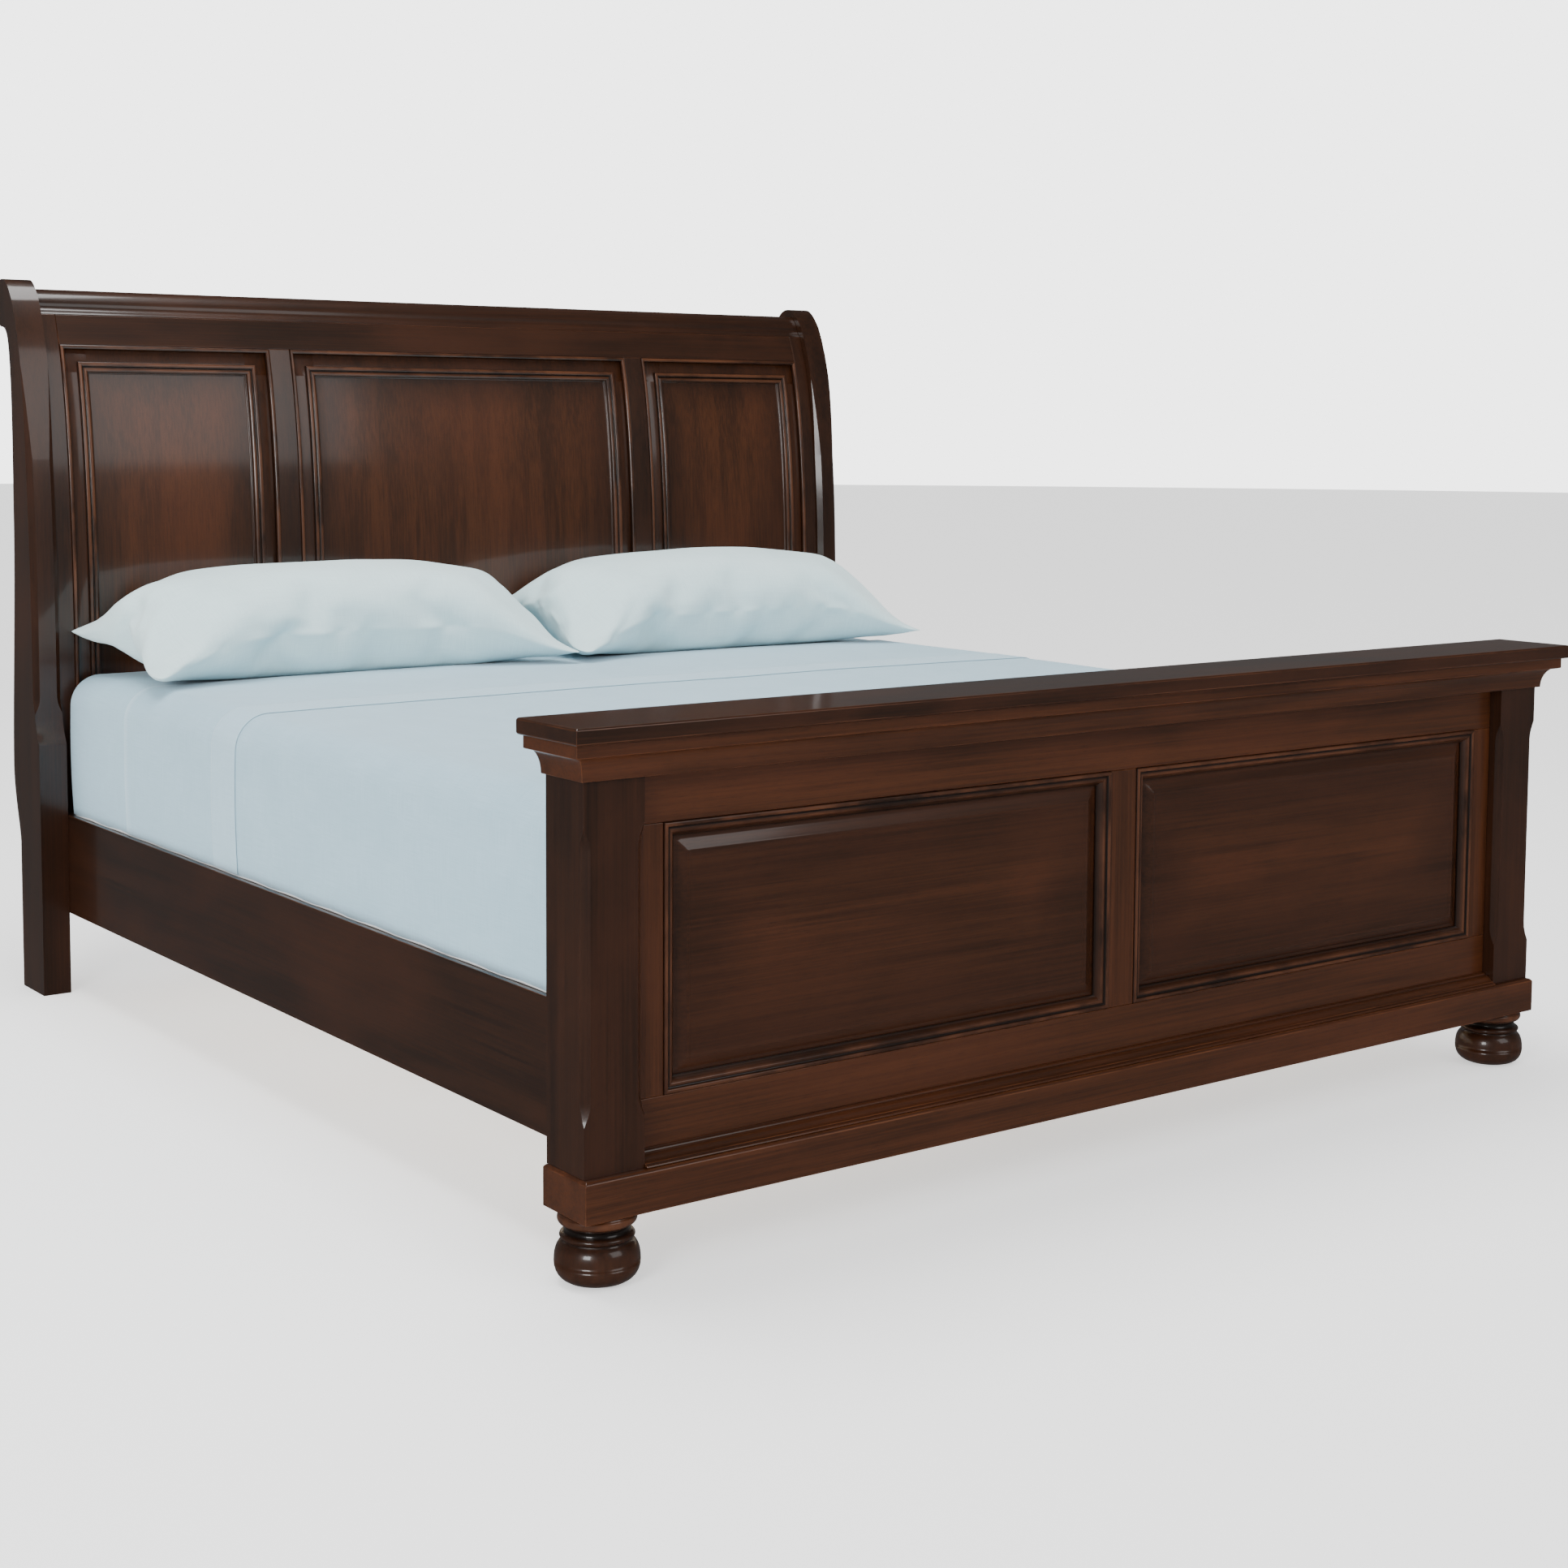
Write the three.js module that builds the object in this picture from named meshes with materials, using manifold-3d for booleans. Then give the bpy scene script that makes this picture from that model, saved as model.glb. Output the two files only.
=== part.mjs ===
// A king sleigh bed: a raised-panel headboard that curls back into a scroll, a low
// panelled footboard with a moulded cap and bun feet, two side rails, slats with centre
// legs, a foundation, a mattress, its sheets and two pillows.
// Millimetres. +X is the bed's right hand seen from the foot, +Y runs from foot to head,
// +Z is up, and the origin is on the floor under the middle of the bed.
import * as THREE from 'three';
import { mergeVertices } from 'three/addons/utils/BufferGeometryUtils.js';
import Module from 'manifold-3d';

const wasm = await Module();
wasm.setup();

// ---- clearances ----
const glueGap = 0.3; // between pieces that are glued or screwed together
const restGap = 0.4; // under a piece that only rests on the one below
const runGap = 0.6; // round the stem of a levelling foot

// ---- overall ----
const clearInsideWidth = 1947; // between the inner faces of the side rails
const railSpan = 2025; // footboard posts to the front of the headboard legs
const headboardHeight = 1498; // top of the scrolls
const footboardHeight = 799; // top of the cap

// ---- side rails, cleats and their hook plates ----
const railThickness = 26;
const railHeight = 208;
const railBottomZ = 169.5;
const cleatWidth = 22;
const cleatHeight = 30;
const cleatEndGap = 60;
const cleatLift = 6; // cleat bottom above the rail bottom
const hookPlateThickness = 3.4;
const hookPlateInset = 4; // rail wood left round the plate
const hookLength = 12;
const hookThickness = 5;
const hookHeight = 30;
const hookSlotGap = 1;

// ---- headboard ----
const headPostWidth = 58;
const legDepth = 123;
const legStepZ = 527; // where the leg steps back into the sweep
const legStepRise = 64;
const sweepInset = 21; // front of the sweep behind the front of the leg
const scrollRadius = 50;
const scrollOffset = 172; // scroll centre behind the front of the leg
const chamfer = 11;
const chamferTongue = 34; // run of the curved end of a chamfer
const chamferRunOut = 200; // length over which the headboard posts' chamfers fade out at the top
const frameInset = 15; // panel frame behind the front of the posts
const headFrameThickness = 38;
const headStileWidth = 34;
const headMuntinWidth = 49;
const headMuntinX = 467.5;
const headOpeningBottomZ = 470;
const headTopRailBelowTop = 136; // top edge of the panel openings below the scroll tops
const crestBelowTop = 73; // joint under the crest below the scroll tops
const crestRadius = 36;
const crestDrop = 19; // crest below the scroll tops
const sweepStep = 42; // height of one facet of the curved frame

// ---- headboard panels, measured in from the edge of the opening ----
const beadWidth = 9;
const beadProud = 3;
const bandDepth = 8; // flat band behind the face of the frame
const fieldDepth = 14;
const headPanelBack = 24;
const headMouldingStart = 36;
const headMouldingWidth = 22;

// ---- footboard ----
const footPostWidth = 100;
const footPostDepth = 100;
const footPostOverhang = 51.5; // outer face of the post beyond the side rail
const plinthProud = 5;
const plinthFrontProud = 12;
const plinthBackProud = 3;
const plinthHeight = 61;
const plinthBevel = 4;
const bunHeight = 101;
const bunRadius = 61.7;
const bunInset = 49; // bun centre in from the outer face of the post
const bunSetback = 44; // bun centre behind the front of the post
const bunSides = 20;
const footFrameSetback = 24;
const footFrameThickness = 44;
const footStileWidth = 47;
const footMuntinWidth = 57;
const footOpeningBottomZ = 253;
const footOpeningHeight = 393;
const footPanelBack = 26;
const footPanelDepth = 14;
const footFieldDepth = 7;
const footFieldStart = 27;
const footBevelWidth = 17;
const baseMouldingHeight = 20;
const baseMouldingDepth = 31;
const postChamferBottomZ = 236;
const postChamferTopZ = 655;

// ---- footboard cornice and cap ----
const capThickness = 24;
const capSideProud = 40;
const capFrontProud = 47;
const capBackProud = 13.5;
const capEase = 2.5;
const filletHeight = 19;
const filletSideProud = 32;
const filletFrontProud = 34;
const corniceBackProud = 8;
const coveHeight = 37;
const coveFootProud = 7;
const coveSteps = 7;

// ---- slats, centre legs and levelling feet ----
const slatCount = 5;
const slatWidth = 90;
const slatThickness = 20;
const slatSideGap = 1.5;
const slatEndGap = 140; // centre of an end slat in from the end of its cleat
const centreLegWidth = 45;
const centreLegClear = 22; // floor to the bottom of a centre leg
const levellerRadius = 19;
const levellerDisc = 7;
const levellerStemRadius = 5;
const levellerStemTop = 45;
const levellerBoreTop = 61;

// ---- bedding ----
const foundationSideGap = 8.5; // each side rail to the foundation
const beddingFootGap = 22; // foot posts to the bedding, clear of the cap above
const beddingHeadGap = 9; // bedding to the headboard
const foundationCorner = 30;
const foundationEdge = 8;
const mattressSideInset = 10.5; // mattress side in from the outer face of the rail
const mattressHeight = 290;
const mattressCorner = 48;
const mattressEdge = 22;
const sheetThickness = 2.8;
const sheetGap = 0.4;
const sheetHemLift = 5; // flat sheet hem above the fitted sheet's hem
const turnDownFromHead = 330; // head edge of the flat sheet from the head end of the mattress
const turnDownWidth = 531;
const pillowSideGap = 17; // pillow end to the side of the mattress
const pillowDepth = 412;
const pillowHeight = 200;
const pillowGap = 8;
const pillowHeadGap = 10;

// ---- places worked out from the sizes ----
const headDepth = scrollOffset + scrollRadius;
const overallLength = capFrontProud + footPostDepth + railSpan + headDepth;
const footFrontY = -overallLength / 2 + capFrontProud;
const footBackY = footFrontY + footPostDepth;
const legFrontY = footBackY + railSpan;
const railInnerX = clearInsideWidth / 2;
const railOuterX = railInnerX + railThickness;
const railTopZ = railBottomZ + railHeight;
const headPostInnerX = railOuterX + 0.5;
const headPostOuterX = headPostInnerX + headPostWidth;
const headFrameX = headPostInnerX - glueGap;
const footPostOuterX = railOuterX + footPostOverhang;
const footPostInnerX = footPostOuterX - footPostWidth;
const footFrameX = footPostInnerX - glueGap;
const headFrameY = legFrontY + sweepInset + frameInset;
const plinthTopZ = bunHeight + plinthHeight;
const capBottomZ = footboardHeight - capThickness;
const corniceBottomZ = capBottomZ - filletHeight - coveHeight;
const footFrameTopZ = corniceBottomZ - glueGap;
const footOpeningTopZ = footOpeningBottomZ + footOpeningHeight;
const headOpeningTopZ = headboardHeight - headTopRailBelowTop;
const crestJointZ = headboardHeight - crestBelowTop;
const cleatBottomZ = railBottomZ + cleatLift;
const slatBottomZ = cleatBottomZ + cleatHeight + glueGap;
const slatTopZ = slatBottomZ + slatThickness;
const mattressBottomZ = railTopZ + restGap;
const beddingFootY = footBackY + beddingFootGap;
const beddingHeadY = headFrameY - beddingHeadGap;
const foundationWidth = clearInsideWidth - 2 * foundationSideGap;
const mattressWidth = 2 * (railOuterX - mattressSideInset);
const pillowLength = (mattressWidth - pillowGap) / 2 - pillowSideGap;

// ---- finishes ----
function finish(color, roughness, metalness = 0) {
  return { color, roughness, metalness };
}
const espresso = finish(0x2f1a12, 0.32);
const cherry = finish(0x4a2113, 0.34);
const pine = finish(0xc9a878, 0.6);
const steel = finish(0x8d9094, 0.4, 0.9);
const nylon = finish(0x1c1c1e, 0.5);
const ticking = finish(0xe6e6e2, 0.9);
const iceBlue = finish(0xbecdd5, 0.85);
const paleMist = finish(0xcddadc, 0.85);

const bed = new THREE.Group();

function add(name, geometry, look) {
  const mesh = new THREE.Mesh(geometry, new THREE.MeshStandardMaterial(look));
  mesh.name = name;
  bed.add(mesh);
  return mesh;
}

// ---- solid helpers ----
function signedVolume(points, index) {
  let volume = 0;
  for (let i = 0; i < index.length; i += 3) {
    const [a, b, c] = [points[index[i]], points[index[i + 1]], points[index[i + 2]]];
    volume += a.dot(new THREE.Vector3().crossVectors(b, c)) / 6;
  }
  return volume;
}

// A closed surface from its points and triangles, turned so that its faces point out.
function closedSurface(points, index) {
  if (signedVolume(points, index) < 0) index.reverse();
  const geometry = new THREE.BufferGeometry().setFromPoints(points);
  geometry.setIndex(index);
  geometry.computeVertexNormals();
  return geometry;
}

// Joins rings of equal length into a skin; an open stack gets a flat cap at each end.
function skin(rings, closedLoop = false) {
  const count = rings[0].length;
  const points = rings.flat();
  const index = [];
  const spans = closedLoop ? rings.length : rings.length - 1;
  for (let ring = 0; ring < spans; ring += 1) {
    const low = ring * count;
    const high = ((ring + 1) % rings.length) * count;
    for (let i = 0; i < count; i += 1) {
      const j = (i + 1) % count;
      index.push(low + i, low + j, high + j, low + i, high + j, high + i);
    }
  }
  if (!closedLoop) {
    const last = (rings.length - 1) * count;
    for (let i = 1; i < count - 1; i += 1) {
      index.push(0, i + 1, i, last, last + i, last + i + 1);
    }
  }
  return closedSurface(points, index);
}

function block(x0, x1, y0, y1, z0, z1) {
  const geometry = new THREE.BoxGeometry(x1 - x0, y1 - y0, z1 - z0);
  return geometry.translate((x0 + x1) / 2, (y0 + y1) / 2, (z0 + z1) / 2);
}

// A shape drawn in (Y, Z) and run along X.
function prismAlongX(shape, x0, x1, curveSegments = 12) {
  const geometry = new THREE.ExtrudeGeometry(shape, {
    depth: x1 - x0,
    bevelEnabled: false,
    curveSegments,
  });
  const axes = new THREE.Matrix4().makeBasis(
    new THREE.Vector3(0, 1, 0),
    new THREE.Vector3(0, 0, 1),
    new THREE.Vector3(1, 0, 0),
  );
  return geometry.applyMatrix4(axes).translate(x0, 0, 0);
}

function toSolid(geometry) {
  const bare = geometry.clone();
  bare.deleteAttribute('normal');
  bare.deleteAttribute('uv');
  const merged = mergeVertices(bare, 1e-4);
  return new wasm.Manifold(new wasm.Mesh({
    numProp: 3,
    vertProperties: new Float32Array(merged.attributes.position.array),
    triVerts: new Uint32Array(merged.index.array),
  }));
}

function fromSolid(solid) {
  const mesh = solid.getMesh();
  const geometry = new THREE.BufferGeometry();
  geometry.setAttribute('position', new THREE.BufferAttribute(mesh.vertProperties, 3));
  geometry.setIndex(new THREE.BufferAttribute(mesh.triVerts, 1));
  geometry.computeVertexNormals();
  return geometry;
}

function cut(geometry, ...cutters) {
  const solid = cutters.reduce((rest, cutter) => rest.subtract(toSolid(cutter)), toSolid(geometry));
  return fromSolid(solid);
}

function join(geometry, ...others) {
  const solid = others.reduce((whole, other) => whole.add(toSolid(other)), toSolid(geometry));
  return fromSolid(solid);
}

// ---- the sleigh sweep ----
// The front of a headboard post: offset behind the leg's front, against height.
const sweepStartZ = legStepZ + legStepRise + 49;
const sweepEnd = new THREE.Vector2(scrollOffset - 59, headboardHeight - 48);
function sweepHeight(share) {
  return THREE.MathUtils.lerp(sweepStartZ, sweepEnd.y, share);
}
const sweepCurve = new THREE.CubicBezierCurve(
  new THREE.Vector2(sweepInset, sweepStartZ),
  new THREE.Vector2(sweepInset, sweepHeight(0.444)),
  new THREE.Vector2(sweepInset + 17, sweepHeight(0.815)),
  sweepEnd,
);
const sweepPoints = sweepCurve.getPoints(80);

function sweepOffset(z) {
  if (z <= sweepStartZ) return sweepInset;
  for (let i = 1; i < sweepPoints.length; i += 1) {
    const [a, b] = [sweepPoints[i - 1], sweepPoints[i]];
    if (z <= b.y) return THREE.MathUtils.mapLinear(z, a.y, b.y, a.x, b.x);
  }
  return sweepEnd.x;
}

// Heights at which every piece of the curved frame changes slope, so that neighbours
// stay face to face.
const mouldingSpan = headMouldingStart + headMouldingWidth;
const curvedBottomZ = headOpeningBottomZ + mouldingSpan;
const curvedTopZ = headOpeningTopZ - mouldingSpan;
const curvedSteps = Math.round((curvedTopZ - curvedBottomZ) / sweepStep);
const sideLevels = [];
for (let i = 0; i <= curvedSteps; i += 1) {
  sideLevels.push(THREE.MathUtils.lerp(curvedBottomZ, curvedTopZ, i / curvedSteps));
}
const sweepLevels = [railBottomZ, headOpeningBottomZ, ...sideLevels, headOpeningTopZ, crestJointZ];

function frameFrontY(z) {
  const levels = sweepLevels;
  const top = levels.findIndex((level) => level >= z);
  if (top <= 0) return legFrontY + frameInset + sweepOffset(top === 0 ? levels[0] : crestJointZ);
  const [a, b] = [levels[top - 1], levels[top]];
  const offset = THREE.MathUtils.mapLinear(z, a, b, sweepOffset(a), sweepOffset(b));
  return legFrontY + frameInset + offset;
}

// Moves a piece drawn with Y as depth behind the frame's face onto the swept face.
function sweepBack(geometry) {
  const position = geometry.attributes.position;
  for (let i = 0; i < position.count; i += 1) {
    position.setY(i, position.getY(i) + frameFrontY(position.getZ(i)));
  }
  geometry.computeVertexNormals();
  return geometry;
}

function sweptBoard(x0, x1, depth0, depth1, z0, z1) {
  const between = sweepLevels.filter((level) => level > z0 + 0.5 && level < z1 - 0.5);
  const rings = [z0, ...between, z1].map((z) => [
    new THREE.Vector3(x0, depth0, z),
    new THREE.Vector3(x1, depth0, z),
    new THREE.Vector3(x1, depth1, z),
    new THREE.Vector3(x0, depth1, z),
  ]);
  return sweepBack(skin(rings));
}

// A mitred moulding round a rectangular opening. The section holds (inset, depth) pairs
// and the side levels are the heights at which the uprights may bend.
function mitredRing(x0, x1, z0, z1, section, levels = []) {
  const place = (x, z) => section.map(([inset, depth]) => new THREE.Vector3(
    x < 0 ? x0 + inset : x1 - inset,
    depth,
    z === 'low' ? z0 + inset : z === 'high' ? z1 - inset : z,
  ));
  const up = levels.map((level) => place(-1, level));
  const down = levels.map((level) => place(1, level)).reverse();
  return skin([place(-1, 'low'), ...up, place(-1, 'high'), place(1, 'high'), ...down, place(1, 'low')], true);
}

// A chamfer run down a corner between two heights, its ends curled out like a tongue, or
// its upper end faded out evenly over the length runOut.
// The corner is at (cornerX, frontAt(z)); side is +1 where the wood lies towards +X.
function chamferCutter(cornerX, side, frontAt, bottomZ, topZ, levels, runOut = 0) {
  const over = 0.6;
  const tongue = [0, 0.35, 0.7, 1];
  const topRun = runOut || chamferTongue;
  const topEnd = runOut
    ? [0, 0.2, 0.4, 0.6, 0.8, 1].map((t) => [t, 1 - t])
    : tongue.map((t) => [t, Math.cos((t * Math.PI) / 2)]);
  const stops = [
    ...tongue.map((t) => [bottomZ + t * chamferTongue, Math.sin((t * Math.PI) / 2)]),
    ...levels.filter((z) => z > bottomZ + chamferTongue + 5 && z < topZ - topRun - 5)
      .map((z) => [z, 1]),
    ...topEnd.map(([t, share]) => [topZ - (1 - t) * topRun, share]),
  ];
  const rings = stops.map(([z, share]) => {
    const size = chamfer * share + 0.02;
    const y = frontAt(z);
    return [
      new THREE.Vector3(cornerX - side * over, y - over, z),
      new THREE.Vector3(cornerX + side * (size + over), y - over, z),
      new THREE.Vector3(cornerX - side * over, y + size + over, z),
    ];
  });
  return skin(rings);
}

// ---- headboard posts ----
function headPostShape() {
  const neck = new THREE.Vector2(scrollOffset - 29, headboardHeight - 128);
  const hump = new THREE.Vector2(legDepth + 35, legStepZ - 57);
  const hollow = new THREE.Vector2(legDepth + 5, THREE.MathUtils.lerp(hump.y, neck.y, 0.572));
  const legTopZ = legStepZ - 217;
  const scrollZ = headboardHeight - scrollRadius;
  const shape = new THREE.Shape();
  shape.moveTo(0, 0);
  shape.lineTo(0, legStepZ);
  const stepTop = legStepZ + legStepRise;
  shape.bezierCurveTo(4, legStepZ + 14, sweepInset, legStepZ + 30, sweepInset, stepTop);
  shape.lineTo(sweepInset, sweepStartZ);
  const { v1, v2, v3 } = sweepCurve;
  shape.bezierCurveTo(v1.x, v1.y, v2.x, v2.y, v3.x, v3.y);
  shape.bezierCurveTo(v3.x + 21, v3.y + 31, scrollOffset - 22, headboardHeight, scrollOffset, headboardHeight);
  shape.absarc(scrollOffset, scrollZ, scrollRadius, Math.PI / 2, -1.4, true);
  shape.bezierCurveTo(scrollOffset - 12, scrollZ - scrollRadius, neck.x + 7, neck.y + 20, neck.x, neck.y);
  const backHeight = (share) => THREE.MathUtils.lerp(hollow.y, neck.y, share);
  shape.bezierCurveTo(neck.x - 22, backHeight(0.82), hollow.x, backHeight(0.35), hollow.x, hollow.y);
  const lowHeight = (share) => THREE.MathUtils.lerp(hump.y, hollow.y, share);
  shape.bezierCurveTo(hollow.x, lowHeight(0.68), hump.x, lowHeight(0.25), hump.x, hump.y);
  shape.bezierCurveTo(hump.x - 2, legTopZ + 90, legDepth + 3, legTopZ + 40, legDepth, legTopZ);
  shape.lineTo(legDepth, 0);
  shape.closePath();
  return shape;
}

function headPost(name, side) {
  const inner = side * headPostInnerX;
  const outer = side * headPostOuterX;
  const post = prismAlongX(headPostShape(), Math.min(inner, outer), Math.max(inner, outer), 14);
  post.translate(0, legFrontY, 0);
  const frontAt = (z) => legFrontY + sweepOffset(z);
  const bottomZ = legStepZ + legStepRise;
  const topZ = headboardHeight - 178;
  const levels = sweepPoints.filter((_, i) => i % 6 === 0).map((point) => point.y);
  add(name, cut(
    post,
    chamferCutter(inner, side, frontAt, bottomZ, topZ, levels, chamferRunOut),
    chamferCutter(outer, -side, frontAt, bottomZ, topZ, levels, chamferRunOut),
  ), espresso);
}
headPost('headboard_post_left', -1);
headPost('headboard_post_right', 1);

// ---- headboard crest: a smaller scroll between the posts ----
function crestShape() {
  const frontY = frameFrontY(crestJointZ) - legFrontY;
  const centreY = scrollOffset - 5;
  const centreZ = headboardHeight - crestDrop - crestRadius;
  const backY = frontY + headFrameThickness;
  const jointZ = crestJointZ + glueGap;
  const dipZ = centreZ - Math.sqrt(crestRadius ** 2 - (centreY - backY - 1) ** 2);
  const dipAngle = Math.atan2(dipZ - centreZ, backY + 1 - centreY);
  const shape = new THREE.Shape();
  shape.moveTo(frontY, jointZ);
  const shoulder = centreZ + 4;
  shape.bezierCurveTo(frontY + 7, jointZ + 9, centreY - crestRadius - 2, shoulder - 14,
    centreY - crestRadius, shoulder);
  shape.bezierCurveTo(centreY - crestRadius + 3, shoulder + 16, centreY - 16, centreZ + crestRadius,
    centreY, centreZ + crestRadius);
  shape.absarc(centreY, centreZ, crestRadius, Math.PI / 2, dipAngle, true);
  shape.lineTo(backY + 1, jointZ);
  shape.closePath();
  return shape;
}
add('headboard_crest', prismAlongX(crestShape(), -headFrameX, headFrameX, 14)
  .translate(0, legFrontY, 0), espresso);

// ---- hook plates: steel plates let into the rail ends, with two hooks each ----
const plateBottomZ = railBottomZ + 25;
const plateTopZ = railTopZ - 25;
const hookHeights = [plateBottomZ + 20, plateTopZ - 20 - hookHeight];
const hookX = (railInnerX + railOuterX) / 2;

function hookSlots(side, faceY, away) {
  const half = hookThickness / 2 + hookSlotGap;
  const far = faceY + away * (hookLength + hookSlotGap);
  const near = faceY - away * 2;
  return hookHeights.map((z) => block(side * hookX - half, side * hookX + half,
    Math.min(near, far), Math.max(near, far), z - hookSlotGap, z + hookHeight + hookSlotGap));
}

function hookPlate(name, side, faceY, away) {
  const back = faceY - away * (glueGap + hookPlateThickness);
  const front = faceY - away * glueGap;
  const plateHalf = railThickness / 2 - hookPlateInset;
  const plate = block(side * hookX - plateHalf, side * hookX + plateHalf,
    Math.min(back, front), Math.max(back, front), plateBottomZ, plateTopZ);
  const tip = faceY + away * hookLength;
  const hooks = hookHeights.map((z) => block(side * hookX - hookThickness / 2,
    side * hookX + hookThickness / 2, Math.min(back, tip), Math.max(back, tip), z, z + hookHeight));
  add(name, join(plate, ...hooks), steel);
}

// ---- headboard frame ----
const openingEdge = headFrameX - headStileWidth;
for (const [name, side] of [['left', -1], ['right', 1]]) {
  const [low, high] = [openingEdge, headFrameX].map((x) => x * side).sort((a, b) => a - b);
  const stile = sweptBoard(low, high, 0, headFrameThickness, railBottomZ, crestJointZ);
  add(`headboard_stile_${name}`, cut(stile, ...hookSlots(side, headFrameY, 1)), espresso);
  const middle = side * headMuntinX;
  add(`headboard_muntin_${name}`, sweptBoard(middle - headMuntinWidth / 2, middle + headMuntinWidth / 2,
    0, headFrameThickness, headOpeningBottomZ + glueGap, headOpeningTopZ - glueGap), espresso);
}
const headRailX = openingEdge - glueGap;
add('headboard_top_rail', sweptBoard(-headRailX, headRailX, 0, headFrameThickness,
  headOpeningTopZ, crestJointZ), espresso);
add('headboard_bottom_rail', sweptBoard(-headRailX, headRailX, 0, headFrameThickness,
  railBottomZ, headOpeningBottomZ), espresso);

// ---- headboard panels, each with a bead round the opening and a double-bead moulding ----
const beadSection = [
  [glueGap, bandDepth - glueGap],
  [glueGap, -beadProud * 0.4],
  [beadWidth / 2, -beadProud],
  [beadWidth, 0],
  [beadWidth, bandDepth - glueGap],
];
const innerSection = [
  [headMouldingStart, bandDepth - glueGap],
  [headMouldingStart + 1, 1],
  [headMouldingStart + 8, 0],
  [headMouldingStart + 11, 4],
  [headMouldingStart + 17, 2.5],
  [headMouldingStart + headMouldingWidth - 1, bandDepth - glueGap],
];
const muntinHalf = headMuntinWidth / 2;
const headOpenings = [
  ['left', -openingEdge, -headMuntinX - muntinHalf],
  ['centre', -headMuntinX + muntinHalf, headMuntinX - muntinHalf],
  ['right', headMuntinX + muntinHalf, openingEdge],
];
for (const [name, x0, x1] of headOpenings) {
  const [z0, z1] = [headOpeningBottomZ, headOpeningTopZ];
  const panel = sweptBoard(x0 + glueGap, x1 - glueGap, bandDepth, headPanelBack, z0 + glueGap, z1 - glueGap);
  const field = sweptBoard(x0 + mouldingSpan, x1 - mouldingSpan, bandDepth - 2, fieldDepth,
    z0 + mouldingSpan, z1 - mouldingSpan);
  add(`headboard_panel_${name}`, cut(panel, field), cherry);
  add(`headboard_bead_${name}`, sweepBack(mitredRing(x0, x1, z0, z1, beadSection, sideLevels)), espresso);
  add(`headboard_moulding_${name}`, sweepBack(mitredRing(x0, x1, z0, z1, innerSection, sideLevels)), espresso);
}

// ---- footboard posts ----
for (const [name, side] of [['left', -1], ['right', 1]]) {
  const [low, high] = [footPostInnerX, footPostOuterX].map((x) => x * side).sort((a, b) => a - b);
  const post = block(low, high, footFrontY, footBackY, plinthTopZ + glueGap, corniceBottomZ - glueGap);
  const frontAt = () => footFrontY;
  add(`footboard_post_${name}`, cut(
    post,
    chamferCutter(low, 1, frontAt, postChamferBottomZ, postChamferTopZ, []),
    chamferCutter(high, -1, frontAt, postChamferBottomZ, postChamferTopZ, []),
    ...hookSlots(side, footBackY, -1),
  ), espresso);
}

// ---- footboard frame ----
const footFaceY = footFrontY + footFrameSetback;
const footFrameBackY = footFaceY + footFrameThickness;
const footOpeningX = footFrameX - footStileWidth;
const footBottomZ = plinthTopZ + glueGap;
for (const [name, side] of [['left', -1], ['right', 1]]) {
  const [low, high] = [footOpeningX, footFrameX].map((x) => x * side).sort((a, b) => a - b);
  add(`footboard_stile_${name}`, block(low, high, footFaceY, footFrameBackY,
    footOpeningBottomZ + glueGap, footOpeningTopZ - glueGap), espresso);
}
add('footboard_top_rail', block(-footFrameX, footFrameX, footFaceY, footFrameBackY,
  footOpeningTopZ, footFrameTopZ), espresso);
add('footboard_bottom_rail', block(-footFrameX, footFrameX, footFaceY, footFrameBackY,
  footBottomZ, footOpeningBottomZ), espresso);
add('footboard_muntin', block(-footMuntinWidth / 2, footMuntinWidth / 2, footFaceY, footFrameBackY,
  footOpeningBottomZ + glueGap, footOpeningTopZ - glueGap), cherry);

// ---- footboard panels ----
function raisedPanel(x0, x1, z0, z1) {
  const ring = (inset, depth) => [
    new THREE.Vector3(x0 + inset, footFaceY + depth, z0 + inset),
    new THREE.Vector3(x1 - inset, footFaceY + depth, z0 + inset),
    new THREE.Vector3(x1 - inset, footFaceY + depth, z1 - inset),
    new THREE.Vector3(x0 + inset, footFaceY + depth, z1 - inset),
  ];
  return skin([
    ring(glueGap, footPanelBack),
    ring(glueGap, footPanelDepth),
    ring(footFieldStart, footPanelDepth),
    ring(footFieldStart + footBevelWidth, footFieldDepth),
  ]);
}
const stickingSection = [
  [glueGap, footPanelDepth - glueGap],
  [glueGap, -1],
  [2.5, -3],
  [6, -3],
  [8.5, 0],
  [10.5, 1],
  [14, 0.5],
  [18, 4],
  [21, 9],
  [24, 10.5],
  [24, footPanelDepth - glueGap],
];
const footOpenings = [
  ['left', -footOpeningX, -footMuntinWidth / 2],
  ['right', footMuntinWidth / 2, footOpeningX],
];
for (const [name, x0, x1] of footOpenings) {
  add(`footboard_panel_${name}`, raisedPanel(x0, x1, footOpeningBottomZ, footOpeningTopZ), cherry);
  add(`footboard_moulding_${name}`, mitredRing(x0, x1, footOpeningBottomZ, footOpeningTopZ,
    stickingSection).translate(0, footFaceY, 0), espresso);
}

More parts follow.
